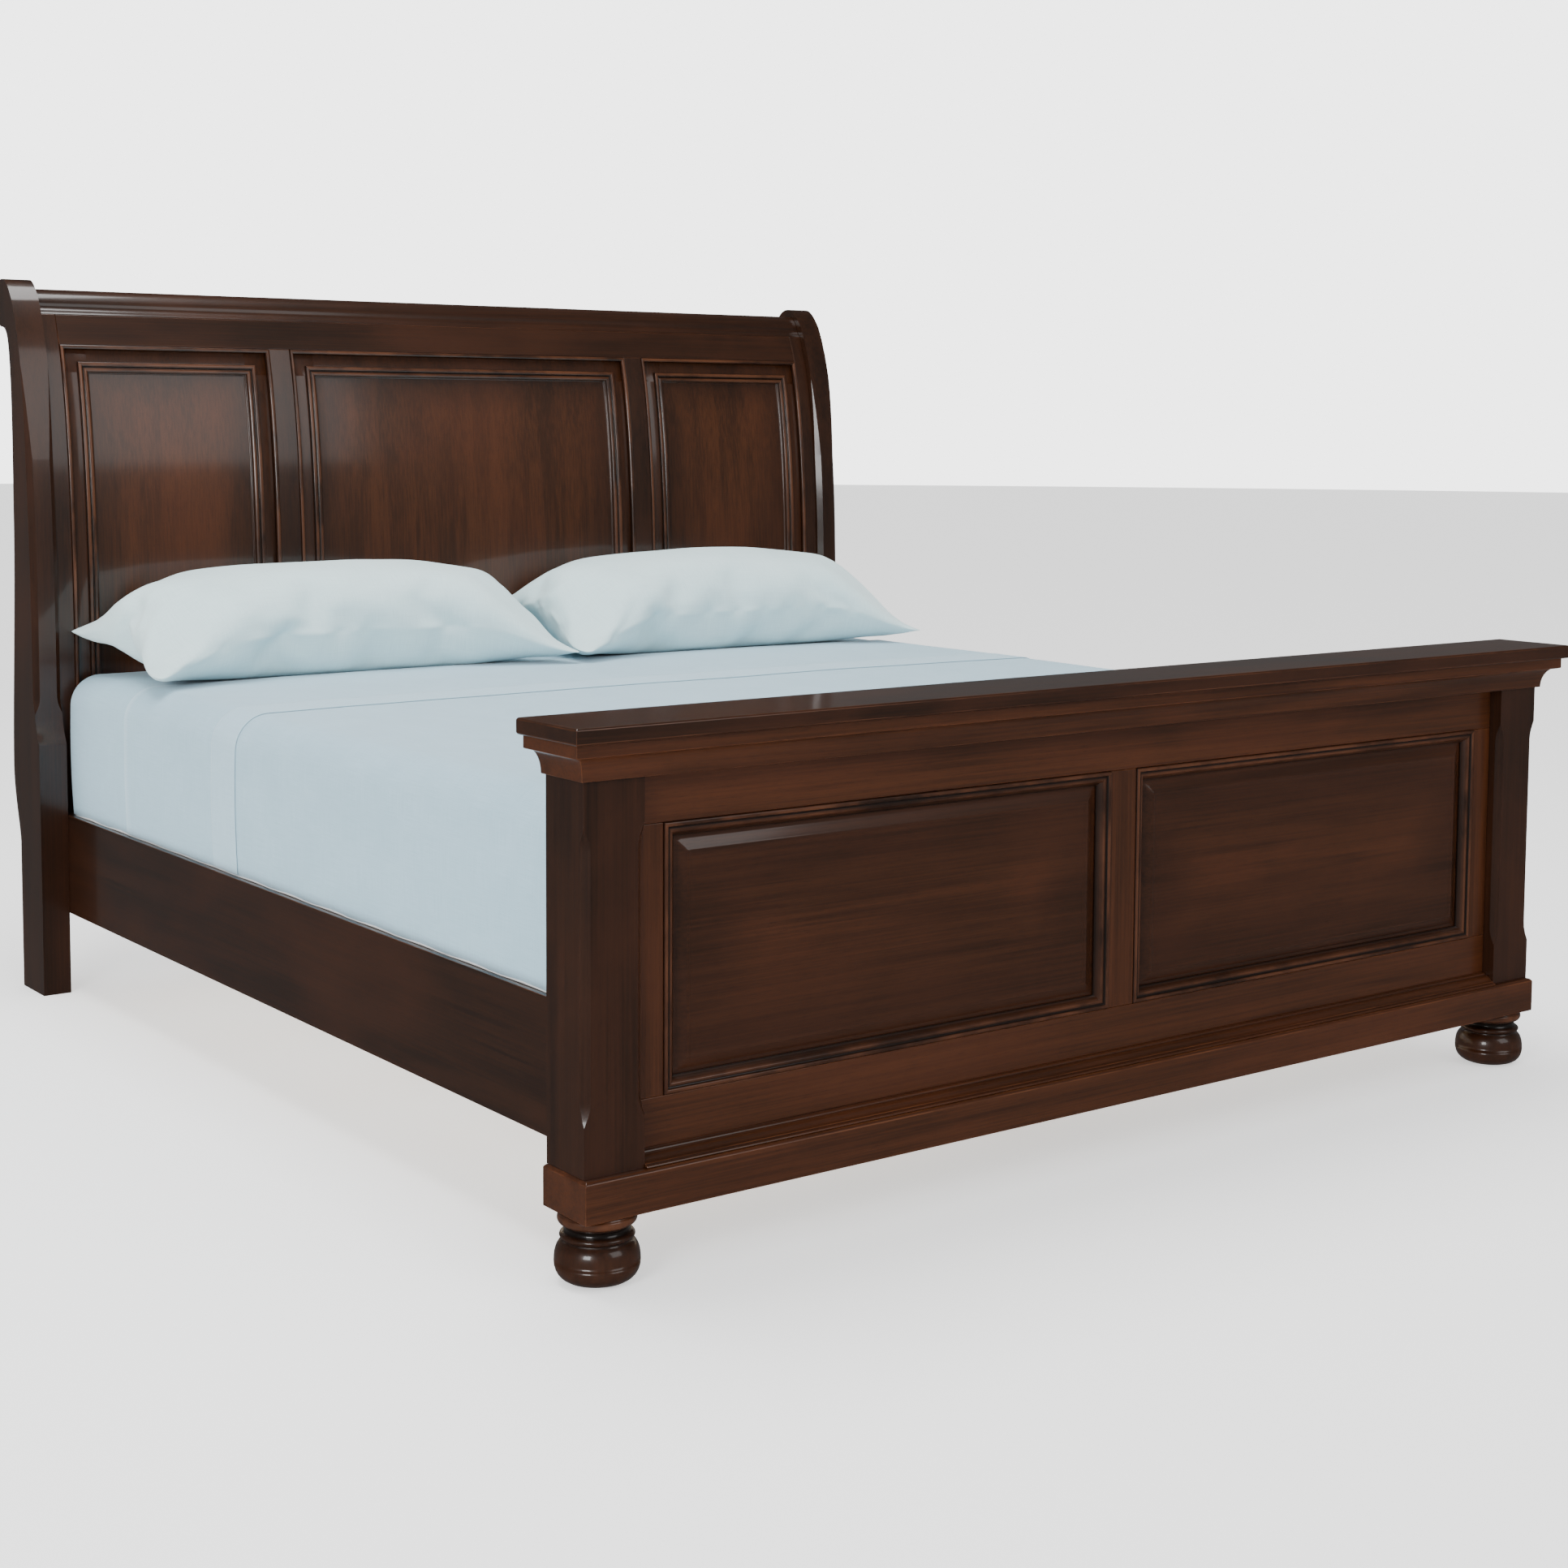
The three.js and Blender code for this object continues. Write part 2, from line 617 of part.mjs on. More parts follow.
// ---- base moulding between the posts ----
function baseMouldingShape() {
  const back = footFaceY - glueGap;
  const low = plinthTopZ + glueGap;
  const high = low + baseMouldingHeight;
  const front = footFaceY - baseMouldingDepth;
  const shape = new THREE.Shape();
  shape.moveTo(back, low);
  shape.lineTo(back, high);
  shape.bezierCurveTo(back - 4, high + 0.5, back - 7, high - 1, back - 7.5, high - 4);
  shape.lineTo(back - 10, high - 4.5);
  shape.bezierCurveTo(back - 18, high - 5, back - 18, low + 6.5, front + 6, low + 6);
  shape.lineTo(front + 5, low + 4.5);
  shape.bezierCurveTo(front + 1.5, low + 4.5, front, low + 3, front, low);
  shape.closePath();
  return shape;
}
add('footboard_base_moulding', prismAlongX(baseMouldingShape(), -footFrameX, footFrameX, 5), espresso);

// ---- plinth ----
function rectangleRing(halfX, y0, y1, z) {
  return [
    new THREE.Vector3(-halfX, y0, z),
    new THREE.Vector3(halfX, y0, z),
    new THREE.Vector3(halfX, y1, z),
    new THREE.Vector3(-halfX, y1, z),
  ];
}
function plinthRing(inset, z) {
  return rectangleRing(footPostOuterX + plinthProud - inset, footFrontY - plinthFrontProud + inset,
    footBackY + plinthBackProud - inset, z);
}
add('footboard_plinth', skin([
  plinthRing(0, bunHeight),
  plinthRing(0, plinthTopZ - plinthBevel),
  plinthRing(plinthBevel, plinthTopZ),
]), espresso);

// ---- cornice and cap ----
function corniceRing(sideProud, frontProud, backProud, z) {
  return rectangleRing(footPostOuterX + sideProud, footFrontY - frontProud, footBackY + backProud, z);
}
function corniceRings() {
  const rings = [];
  const coveTopZ = corniceBottomZ + coveHeight;
  for (let i = 0; i <= coveSteps; i += 1) {
    const angle = (i / coveSteps) * (Math.PI / 2);
    const reach = 1 - Math.cos(angle);
    const side = THREE.MathUtils.lerp(coveFootProud, filletSideProud - 5, reach);
    const front = THREE.MathUtils.lerp(coveFootProud, filletFrontProud - 5, reach);
    const back = THREE.MathUtils.lerp(2, corniceBackProud - 2, reach);
    rings.push(corniceRing(side, front, back, corniceBottomZ + coveHeight * Math.sin(angle) - 1.5 * (i === coveSteps)));
  }
  rings.push(corniceRing(filletSideProud, filletFrontProud, corniceBackProud, coveTopZ));
  rings.push(corniceRing(filletSideProud, filletFrontProud, corniceBackProud, capBottomZ - glueGap));
  return rings;
}
add('footboard_cornice', skin(corniceRings()), espresso);

function capRing(inset, z) {
  return corniceRing(capSideProud - inset, capFrontProud - inset, capBackProud - inset, z);
}
add('footboard_cap', skin([
  capRing(capEase, capBottomZ),
  capRing(0, capBottomZ + capEase),
  capRing(0, footboardHeight - capEase),
  capRing(capEase, footboardHeight),
]), espresso);

// ---- bun feet ----
function bunProfile() {
  const r = bunRadius;
  const top = bunHeight - glueGap;
  const outline = new THREE.Path();
  outline.moveTo(0, 0);
  outline.lineTo(r * 0.5, 0);
  outline.bezierCurveTo(r * 0.86, 1.5, r, 16, r, 30);
  outline.bezierCurveTo(r, 46, r * 0.94, 56, r * 0.8, 61);
  outline.lineTo(r * 0.8, 63);
  outline.bezierCurveTo(r * 0.89, 64.5, r * 0.89, 70.5, r * 0.8, 72);
  outline.bezierCurveTo(r * 0.72, 76, r * 0.72, 80, r * 0.8, 83);
  outline.bezierCurveTo(r * 0.92, 86, r * 0.94, top - 6, r * 0.86, top);
  outline.lineTo(0, top);
  return outline.getPoints(3);
}
for (const [name, side] of [['left', -1], ['right', 1]]) {
  const bun = mergeVertices(new THREE.LatheGeometry(bunProfile(), bunSides)).rotateX(Math.PI / 2);
  bun.translate(side * (footPostOuterX - bunInset), footFrontY + bunSetback, 0);
  add(`bun_foot_${name}`, bun, espresso);
}

// ---- side rails with their cleats and hook plates ----
for (const [name, side] of [['left', -1], ['right', 1]]) {
  const [low, high] = [railInnerX, railOuterX].map((x) => x * side).sort((a, b) => a - b);
  const [footEnd, headEnd] = [footBackY + glueGap, headFrameY - glueGap];
  const pocket = (y0, y1) => block(low + hookPlateInset - glueGap, high - hookPlateInset + glueGap,
    y0, y1, plateBottomZ - glueGap, plateTopZ + glueGap);
  const recess = hookPlateThickness + glueGap;
  add(`side_rail_${name}`, cut(
    block(low, high, footEnd, headEnd, railBottomZ, railTopZ),
    pocket(footEnd - 1, footEnd + recess),
    pocket(headEnd - recess, headEnd + 1),
  ), espresso);
  const cleatOuter = railInnerX - glueGap;
  const [cleatLow, cleatHigh] = [cleatOuter - cleatWidth, cleatOuter].map((x) => x * side).sort((a, b) => a - b);
  add(`slat_cleat_${name}`, block(cleatLow, cleatHigh, footEnd + cleatEndGap, headEnd - cleatEndGap,
    cleatBottomZ, cleatBottomZ + cleatHeight), pine);
  hookPlate(`hook_plate_foot_${name}`, side, footBackY, -1);
  hookPlate(`hook_plate_head_${name}`, side, headFrameY, 1);
}

// ---- slats, centre legs and levelling feet ----
const firstSlatY = footBackY + cleatEndGap + slatEndGap;
const lastSlatY = headFrameY - cleatEndGap - slatEndGap;
const slatReach = railInnerX - slatSideGap;
for (let i = 0; i < slatCount; i += 1) {
  const y = THREE.MathUtils.lerp(firstSlatY, lastSlatY, i / (slatCount - 1));
  add(`slat_${i + 1}`, block(-slatReach, slatReach, y - slatWidth / 2, y + slatWidth / 2,
    slatBottomZ, slatTopZ), pine);
  if (i % 2 === 0) {
    const legName = i / 2 + 1;
    const half = centreLegWidth / 2;
    const bore = new THREE.CylinderGeometry(levellerStemRadius + runGap, levellerStemRadius + runGap,
      levellerBoreTop - centreLegClear + 2, 16);
    bore.rotateX(Math.PI / 2).translate(0, y, (levellerBoreTop + centreLegClear - 2) / 2);
    add(`centre_leg_${legName}`, cut(
      block(-half, half, y - half, y + half, centreLegClear, slatBottomZ - glueGap),
      bore,
    ), pine);
    const foot = [
      new THREE.Vector2(0, 0),
      new THREE.Vector2(levellerRadius - 1.5, 0),
      new THREE.Vector2(levellerRadius, 2),
      new THREE.Vector2(levellerRadius, levellerDisc - 2),
      new THREE.Vector2(levellerRadius - 4, levellerDisc),
      new THREE.Vector2(levellerStemRadius, levellerDisc),
      new THREE.Vector2(levellerStemRadius, levellerStemTop),
      new THREE.Vector2(0, levellerStemTop),
    ];
    add(`levelling_foot_${legName}`, mergeVertices(new THREE.LatheGeometry(foot, 14))
      .rotateX(Math.PI / 2).translate(0, y, 0), nylon);
  }
}

// ---- foundation and mattress ----
// A rounded rectangle in plan between two ends, as a ring at one height.
function roundedRing(halfX, y0, y1, radius, z) {
  const corners = [[1, y1, 0], [-1, y1, 1], [-1, y0, 2], [1, y0, 3]];
  const steps = 3;
  return corners.flatMap(([side, y, quarter]) => {
    const centreX = side * (halfX - radius);
    const centreY = y + (y === y1 ? -radius : radius);
    return Array.from({ length: steps + 1 }, (_, i) => {
      const angle = (quarter + i / steps) * (Math.PI / 2);
      return new THREE.Vector3(centreX + radius * Math.cos(angle), centreY + radius * Math.sin(angle), z);
    });
  });
}

// A slab with rounded corners and eased edges, grown outwards by an offset.
function slab(width, y0, y1, z0, z1, corner, edge, offset, openBottom = false) {
  const ring = (inset, z) => roundedRing(width / 2 + offset - inset, y0 - offset + inset,
    y1 + offset - inset, corner + offset - inset, z);
  const ease = edge + offset;
  const rings = openBottom ? [] : [ring(ease, z0 - offset), ring(ease * 0.3, z0 - offset + ease * 0.3)];
  rings.push(ring(0, openBottom ? z0 : z0 - offset + ease));
  for (const share of [0, 0.5, 0.8, 1]) {
    const angle = share * (Math.PI / 2);
    rings.push(ring(ease * (1 - Math.cos(angle)), z1 + offset - ease + ease * Math.sin(angle)));
  }
  return skin(rings);
}
add('foundation', slab(foundationWidth, beddingFootY, beddingHeadY, slatTopZ + restGap,
  railTopZ, foundationCorner, foundationEdge, 0), ticking);

const mattressTopZ = mattressBottomZ + mattressHeight;
const dressed = (z0, offset, openBottom) => slab(mattressWidth, beddingFootY, beddingHeadY, z0,
  mattressTopZ, mattressCorner, mattressEdge, offset, openBottom);
add('mattress', dressed(mattressBottomZ, 0, false), ticking);

// ---- sheets: thin shells round the mattress, open below ----
const fittedHemZ = mattressBottomZ + 1;
const fittedOuter = sheetGap + sheetThickness;
add('fitted_sheet', cut(dressed(fittedHemZ, fittedOuter, true), dressed(fittedHemZ - 5, sheetGap, true)), iceBlue);

const flatInner = fittedOuter + sheetGap;
const flatOuter = flatInner + sheetThickness;
const flatHemZ = fittedHemZ + sheetHemLift;
const turnDownHeadY = beddingHeadY - turnDownFromHead;
const turnDownFootY = turnDownHeadY - turnDownWidth;
const wide = mattressWidth;
const headSide = (y) => block(-wide, wide, y, y + overallLength, 0, headboardHeight);
const footSide = (y) => block(-wide, wide, y - overallLength, y, 0, headboardHeight);
const flatLayer = cut(dressed(flatHemZ, flatOuter, true), headSide(turnDownHeadY));
const turnDown = cut(dressed(flatHemZ, flatOuter + sheetThickness, true),
  headSide(turnDownHeadY), footSide(turnDownFootY));
add('flat_sheet', cut(join(flatLayer, turnDown), dressed(flatHemZ - 5, flatInner, true)), iceBlue);

// ---- pillows: plump in the middle, drawn in to seams at the ends ----
function pillow(centreX, centreY, bottomZ) {
  const across = 16;
  const along = 14;
  const squash = (value, power) => Math.sign(value) * Math.abs(value) ** power;
  const rings = [];
  for (let i = 1; i < along; i += 1) {
    const polar = -Math.PI / 2 + (Math.PI * i) / along;
    const x = (squash(Math.sin(polar), 0.42) * pillowLength) / 2;
    const girth = squash(Math.cos(polar), 0.62);
    rings.push(Array.from({ length: across }, (_, j) => {
      const turn = (2 * Math.PI * j) / across;
      const y = (squash(Math.cos(turn), 0.75) * girth ** 0.35 * pillowDepth) / 2;
      const z = (squash(Math.sin(turn), 0.9) * girth * pillowHeight) / 2;
      return new THREE.Vector3(centreX + x, centreY + y, bottomZ + pillowHeight / 2 + z);
    }));
  }
  return skin(rings);
}
const pillowBottomZ = mattressTopZ + fittedOuter + restGap;
const pillowY = beddingHeadY - pillowHeadGap - pillowDepth / 2;
for (const [name, side] of [['left', -1], ['right', 1]]) {
  add(`pillow_${name}`, pillow(side * (pillowLength + pillowGap) / 2, pillowY, pillowBottomZ), paleMist);
}

export default bed;
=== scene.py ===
import math

import bmesh
import bpy
from mathutils import Matrix, Vector, noise
from mathutils.geometry import interpolate_bezier


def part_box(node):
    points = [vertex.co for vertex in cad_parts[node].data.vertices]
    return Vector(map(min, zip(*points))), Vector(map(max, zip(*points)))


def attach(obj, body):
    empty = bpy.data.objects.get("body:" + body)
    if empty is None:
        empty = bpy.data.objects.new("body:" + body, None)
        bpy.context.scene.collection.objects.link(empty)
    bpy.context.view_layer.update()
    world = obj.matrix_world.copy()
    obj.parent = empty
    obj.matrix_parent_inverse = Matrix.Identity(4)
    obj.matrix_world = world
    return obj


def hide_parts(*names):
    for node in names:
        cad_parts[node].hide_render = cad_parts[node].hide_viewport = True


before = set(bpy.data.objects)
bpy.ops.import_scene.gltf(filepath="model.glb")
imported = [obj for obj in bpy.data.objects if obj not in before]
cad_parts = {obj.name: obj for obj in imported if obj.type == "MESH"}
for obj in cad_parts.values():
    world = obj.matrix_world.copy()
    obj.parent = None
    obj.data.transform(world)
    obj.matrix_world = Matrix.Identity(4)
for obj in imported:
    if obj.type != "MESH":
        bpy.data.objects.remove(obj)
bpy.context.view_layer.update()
scene = bpy.context.scene
mm = 0.001


def smoothstep(low, high, value):
    share = min(max((value - low) / (high - low), 0.0), 1.0)
    return share * share * (3 - 2 * share)


def blendTable(table, value):
    # straight lines between (key, result) pairs in rising order of key
    if value <= table[0][0]:
        return table[0][1]
    for (a, low), (b, high) in zip(table, table[1:]):
        if value <= b:
            return low + (high - low) * (value - a) / (b - a)
    return table[-1][1]


def spread(low, high, step):
    count = max(1, round((high - low) / step))
    return [low + (high - low) * i / count for i in range(count + 1)]


def newMesh(bm, name, outwards=False):
    if outwards:
        bmesh.ops.recalc_face_normals(bm, faces=bm.faces)
    mesh = bpy.data.meshes.new(name)
    bm.to_mesh(mesh)
    bm.free()
    return mesh


def showPiece(name, mesh, material, body, stands=()):
    mesh.materials.clear()
    mesh.materials.append(material)
    piece = bpy.data.objects.new(name, mesh)
    scene.collection.objects.link(piece)
    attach(piece, body)
    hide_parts(*stands)
    return piece


def quadGrid(bm, rows, uvRows=None, uvLayer=None, flip=False):
    # joins equal rows of points into a sheet of quads; returns the rows of vertices
    verts = [[bm.verts.new(p) for p in row] for row in rows]
    for i in range(len(rows) - 1):
        for j in range(len(rows[0]) - 1):
            corners = [(i, j), (i, j + 1), (i + 1, j + 1), (i + 1, j)]
            if flip:
                corners.reverse()
            face = bm.faces.new([verts[a][b] for a, b in corners])
            face.smooth = True
            if uvRows:
                for loop, (a, b) in zip(face.loops, corners):
                    loop[uvLayer].uv = uvRows[a][b]
    return verts


boardCount = 0
grainOrder = {"x": (1, 2, 0), "y": (0, 2, 1), "z": (0, 1, 2)}  # the last one runs with the grain


def layGrain(bm, axis, verts=None):
    # board space: the grain runs along its third number, and every board is cut elsewhere
    global boardCount
    boardCount += 1
    layer = bm.verts.layers.float_vector["boardSpace"]
    a, b, c = grainOrder[axis]
    shift = Vector((boardCount * 1.37 % 5, boardCount * 2.11 % 7, boardCount * 3.73 % 11))
    for v in verts or bm.verts:
        v[layer] = Vector((v.co[a], v.co[b], v.co[c])) + shift


def woodMesh(copied=None):
    # a new layer ends the hold on older vertices, so all are made before the first shape
    bm = bmesh.new()
    if copied:
        bm.from_mesh(copied)
    for name in ("wearHighlight", "glazeShade", "edgeShade"):
        bm.verts.layers.float.new(name)
    bm.verts.layers.float_vector.new("boardSpace")
    return bm


def markLayers(bm):
    return [bm.verts.layers.float[name] for name in ("wearHighlight", "glazeShade", "edgeShade")]


def easeEdges(bm, rubbedHighlight, filledShade, minAngle=26):
    # outer edges are rounded and marked for rubbing and as painted highlight, inner corners for glazing and
    # as painted shade
    wearHighlight, glazeShade, _ = markLayers(bm)
    for width, layer, outside in ((rubbedHighlight, wearHighlight, True), (filledShade, glazeShade, False)):
        edges = [e for e in bm.edges if e.is_manifold
                 and e.calc_face_angle(0) > math.radians(minAngle) and e.is_convex == outside]
        if not width or not edges:
            continue
        made = bmesh.ops.bevel(bm, geom=edges, offset=width, offset_type="OFFSET", segments=2,
                               profile=0.5, affect="EDGES", clamp_overlap=True)
        strip = set(made["faces"])
        for v in {v for f in strip for v in f.verts}:
            if all(f in strip for f in v.link_faces):
                v[layer] = 1.0
    for f in bm.faces:
        f.smooth = True


def flatten(piece):
    # keeps the broad faces flat beside their rounded edges
    even = piece.modifiers.new("broad faces", "WEIGHTED_NORMAL")
    even.keep_sharp = True
    return piece


def board(node, axis, material, rubbedHighlight=1.4 * mm, filledShade=0.8 * mm, body="bedstead"):
    bm = woodMesh(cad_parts[node].data)
    bmesh.ops.remove_doubles(bm, verts=bm.verts, dist=0.002 * mm)
    bmesh.ops.dissolve_limit(bm, angle_limit=math.radians(0.6), verts=bm.verts, edges=bm.edges)
    easeEdges(bm, rubbedHighlight, filledShade)
    layGrain(bm, axis)
    return flatten(showPiece(node + "_board", newMesh(bm, node), material, body, [node]))


def turning(name, profile, centre, material, body, stands, sides=64):
    # spins (radius, height, wear, glaze) round a vertical line; wear also paints highlight, glaze also shade
    bm = woodMesh()
    wearHighlight, glazeShade, _ = markLayers(bm)
    rings = []
    for radius, height, rubbedHighlight, filledShade in profile:
        if radius < 0.01 * mm:
            ring = [bm.verts.new((centre[0], centre[1], height))]
        else:
            turns = [2 * math.pi * i / sides for i in range(sides)]
            ring = [bm.verts.new((centre[0] + radius * math.cos(t), centre[1] + radius * math.sin(t), height))
                    for t in turns]
        for v in ring:
            v[wearHighlight], v[glazeShade] = rubbedHighlight, filledShade
        rings.append(ring)
    for low, high in zip(rings, rings[1:]):
        for i in range(sides):
            j = (i + 1) % sides
            corners = [low[i % len(low)], low[j % len(low)], high[j % len(high)], high[i % len(high)]]
            bm.faces.new(list(dict.fromkeys(corners))).smooth = True
    bmesh.ops.recalc_face_normals(bm, faces=bm.faces)
    layGrain(bm, "z")
    return showPiece(name, newMesh(bm, name), material, body, stands)


def roundedSection(points, radius, steps=3):
    # eases each corner of a closed (inset, depth, wear, glaze) outline with a small arc; wear also paints
    # highlight, glaze also shade
    out = []
    for i, (x, y, rubbedHighlight, filledShade) in enumerate(points):
        here = Vector((x, y))
        before = Vector(points[i - 1][:2]) - here
        after = Vector(points[(i + 1) % len(points)][:2]) - here
        back = here + before.normalized() * min(radius, before.length * 0.45)
        ahead = here + after.normalized() * min(radius, after.length * 0.45)
        for s in range(steps + 1):
            t = s / steps
            p = back * (1 - t) ** 2 + here * 2 * t * (1 - t) + ahead * t ** 2
            out.append((p.x, p.y, rubbedHighlight, filledShade))
    return out


def mouldingStick(bm, section, stations):
    # one length of moulding, capped at its mitres; a station places an (inset, depth) pair
    wearHighlight, glazeShade, _ = markLayers(bm)
    rings = []
    for place in stations:
        ring = [bm.verts.new(place(x, y)) for x, y, _, _ in section]
        for v, (_, _, rubbedHighlight, filledShade) in zip(ring, section):
            v[wearHighlight], v[glazeShade] = rubbedHighlight, filledShade
        rings.append(ring)
    count = len(section)
    for low, high in zip(rings, rings[1:]):
        for i in range(count):
            j = (i + 1) % count
            bm.faces.new([low[i], low[j], high[j], high[i]]).smooth = True
    bm.faces.new(list(reversed(rings[0])))
    bm.faces.new(rings[-1])
    return [v for ring in rings for v in ring]


def mitredFrame(node, section, frontAt, levels, material):
    low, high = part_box(node)
    first = min(x for x, *_ in section)
    x0, x1, z0, z1 = low.x - first, high.x + first, low.z - first, high.z + first
    bm = woodMesh()

    def onSide(z, side):
        edge = x0 if side < 0 else x1
        return lambda inset, depth: (edge - side * inset, frontAt(z) + depth, z)

    def atCorner(side, top):
        edgeX, edgeZ = (x0 if side < 0 else x1), (z1 if top else z0)

        def place(inset, depth):
            z = edgeZ + (-inset if top else inset)
            return (edgeX - side * inset, frontAt(z) + depth, z)
        return place

    reach = max(x for x, *_ in section)
    between = [z for z in levels if z0 + reach + mm < z < z1 - reach - mm]
    for side in (-1, 1):
        stick = mouldingStick(bm, section, [atCorner(side, False), *[onSide(z, side) for z in between],
                                            atCorner(side, True)])
        layGrain(bm, "z", stick)
    for top in (False, True):
        stick = mouldingStick(bm, section, [atCorner(-1, top), atCorner(1, top)])
        layGrain(bm, "x", stick)
    bmesh.ops.recalc_face_normals(bm, faces=bm.faces)
    return flatten(showPiece(node + "_mitred", newMesh(bm, node), material, "bedstead",
                             [node]))


def gridLines(low, high, insets, step):
    inner = spread(low + insets[-1], high - insets[-1], step)
    return [low + i for i in insets[:-1]] + inner + [high - i for i in reversed(insets[:-1])]


def panelBoard(node, profile, thickness, fade, frontAt, step, axis, material):
    # a plate whose face follows (inset, depth) pairs in from its edge, darkened near its frame
    low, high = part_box(node)
    insets = [inset for inset, _ in profile]
    xs, zs = gridLines(low.x, high.x, insets, step), gridLines(low.z, high.z, insets, step)
    bm = woodMesh()
    shade = markLayers(bm)[2]
    grids = []
    for depthAt in (lambda inset: blendTable(profile, inset), lambda inset: thickness):
        rows = []
        for z in zs:
            row = []
            for x in xs:
                inset = min(x - low.x, high.x - x, z - low.z, high.z - z)
                v = bm.verts.new((x, frontAt(z) + depthAt(inset), z))
                v[shade] = 1 - smoothstep(insets[-1], insets[-1] + fade, inset)
                row.append(v)
            rows.append(row)
        grids.append(rows)
    faceSide, backSide = grids
    nz, nx = len(zs), len(xs)
    for r in range(nz - 1):
        for c in range(nx - 1):
            a, b = faceSide[r][c], faceSide[r][c + 1]
            d, e = faceSide[r + 1][c + 1], faceSide[r + 1][c]
            cornerCell = min(r, nz - 2 - r) == min(c, nx - 2 - c) < len(insets) - 1
            rising = (r < nz / 2) == (c < nx / 2)
            if cornerCell and rising:
                made = [bm.faces.new((a, b, d)), bm.faces.new((a, d, e))]
            elif cornerCell:
                made = [bm.faces.new((a, b, e)), bm.faces.new((b, d, e))]
            else:
                made = [bm.faces.new((a, b, d, e))]
            made.append(bm.faces.new((backSide[r][c], backSide[r + 1][c], backSide[r + 1][c + 1],
                                      backSide[r][c + 1])))
            for f in made:
                f.smooth = True
    rim = [(0, c) for c in range(nx)] + [(r, nx - 1) for r in range(1, nz)]
    rim += [(nz - 1, c) for c in range(nx - 2, -1, -1)] + [(r, 0) for r in range(nz - 2, 0, -1)]
    for (r, c), (s, d) in zip(rim, rim[1:] + rim[:1]):
        bm.faces.new((faceSide[r][c], backSide[r][c], backSide[s][d], faceSide[s][d]))
    easeEdges(bm, 0.9 * mm, 0.6 * mm, 16)
    layGrain(bm, axis)
    return flatten(showPiece(node + "_board", newMesh(bm, node), material, "bedstead", [node]))


def readSweep():
    front = {}
    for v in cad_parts["headboard_stile_left"].data.vertices:
        key = round(v.co.z, 4)
        front[key] = min(front.get(key, 9), v.co.y)
    return sorted(front.items())


sweep = readSweep()


def sweptFront(z):
    # a smooth curve through the frame's own levels
    i = next((k for k in range(1, len(sweep)) if sweep[k][0] >= z), len(sweep) - 1)
    (za, ya), (zb, yb) = sweep[i - 1], sweep[i]
    before, after = sweep[max(i - 2, 0)], sweep[min(i + 1, len(sweep) - 1)]
    t = (z - za) / (zb - za)
    slopeA = (yb - before[1]) / (zb - before[0]) * (zb - za)
    slopeB = (after[1] - ya) / (after[0] - za) * (zb - za)
    if za < 0.6:
        slopeA = slopeB = yb - ya
    return ((2 * t ** 3 - 3 * t ** 2 + 1) * ya + (t ** 3 - 2 * t ** 2 + t) * slopeA
            + (3 * t ** 2 - 2 * t ** 3) * yb + (t ** 3 - t ** 2) * slopeB)


class Tree:
    def __init__(self, tree):
        self.tree = tree

    def add(self, kind, **settings):
        node = self.tree.nodes.new(kind)
        for key, value in settings.items():
            setattr(node, key, value)
        return node

    def link(self, source, target):
        self.tree.links.new(source, target)

    def maths(self, operation, a, b=None, c=None, clamp=False):
        node = self.add("ShaderNodeMath", operation=operation, use_clamp=clamp)
        for socket, value in zip(node.inputs, (a, b, c)):
            self.feed(socket, value)
        return node.outputs[0]

    def feed(self, socket, value):
        if value is None:
            return
        if hasattr(value, "is_output"):
            self.link(value, socket)
        else:
            socket.default_value = value

    def stretch(self, vector, sizes):
        node = self.add("ShaderNodeVectorMath", operation="MULTIPLY")
        self.link(vector, node.inputs[0])
        node.inputs[1].default_value = sizes
        return node.outputs[0]

    def noise(self, vector, scale, detail=3.0, rough=0.5, distortion=0.0):
        node = self.add("ShaderNodeTexNoise")
        self.link(vector, node.inputs["Vector"])
        self.setInputs(node, Scale=scale, Detail=detail, Roughness=rough, Distortion=distortion)
        return node.outputs["Fac"]

    def ramp(self, value, low, high, a=0.0, b=1.0):
        node = self.add("ShaderNodeMapRange", interpolation_type="SMOOTHSTEP")
        self.link(value, node.inputs["Value"])
        self.setInputs(node, From_Min=low, From_Max=high, To_Min=a, To_Max=b)
        return node.outputs["Result"]

    def setInputs(self, node, **values):
        for name, value in values.items():
            node.inputs[name.replace("_", " ")].default_value = value

    def mix(self, share, a, b):
        node = self.add("ShaderNodeMix", data_type="RGBA")
        self.feed(node.inputs[0], share)
        self.feed(node.inputs[6], a)
        self.feed(node.inputs[7], b)
        return node.outputs[2]

    def attribute(self, name):
        return self.add("ShaderNodeAttribute", attribute_name=name)

    def bump(self, height, strength, distance, normal=None):
        node = self.add("ShaderNodeBump")
        self.setInputs(node, Strength=strength, Distance=distance)
        self.link(height, node.inputs["Height"])
        if normal:
            self.link(normal, node.inputs["Normal"])
        return node.outputs["Normal"]


def newGroup(name, inputs, outputs):
    group = bpy.data.node_groups.new(name, "ShaderNodeTree")
    for label, kind, start in inputs:
        socket = group.interface.new_socket(label, in_out="INPUT", socket_type=kind)
        if start is not None:
            socket.default_value = start
    for label, kind in outputs:
        group.interface.new_socket(label, in_out="OUTPUT", socket_type=kind)
    return Tree(group), group.nodes.new("NodeGroupInput"), group.nodes.new("NodeGroupOutput")


def rgb(red, green, blue):
    # eight-bit screen colour to the linear colour that a socket takes
    def linear(value):
        value /= 255
        return value / 12.92 if value <= 0.04045 else ((value + 0.055) / 1.055) ** 2.4
    return (linear(red), linear(green), linear(blue), 1.0)


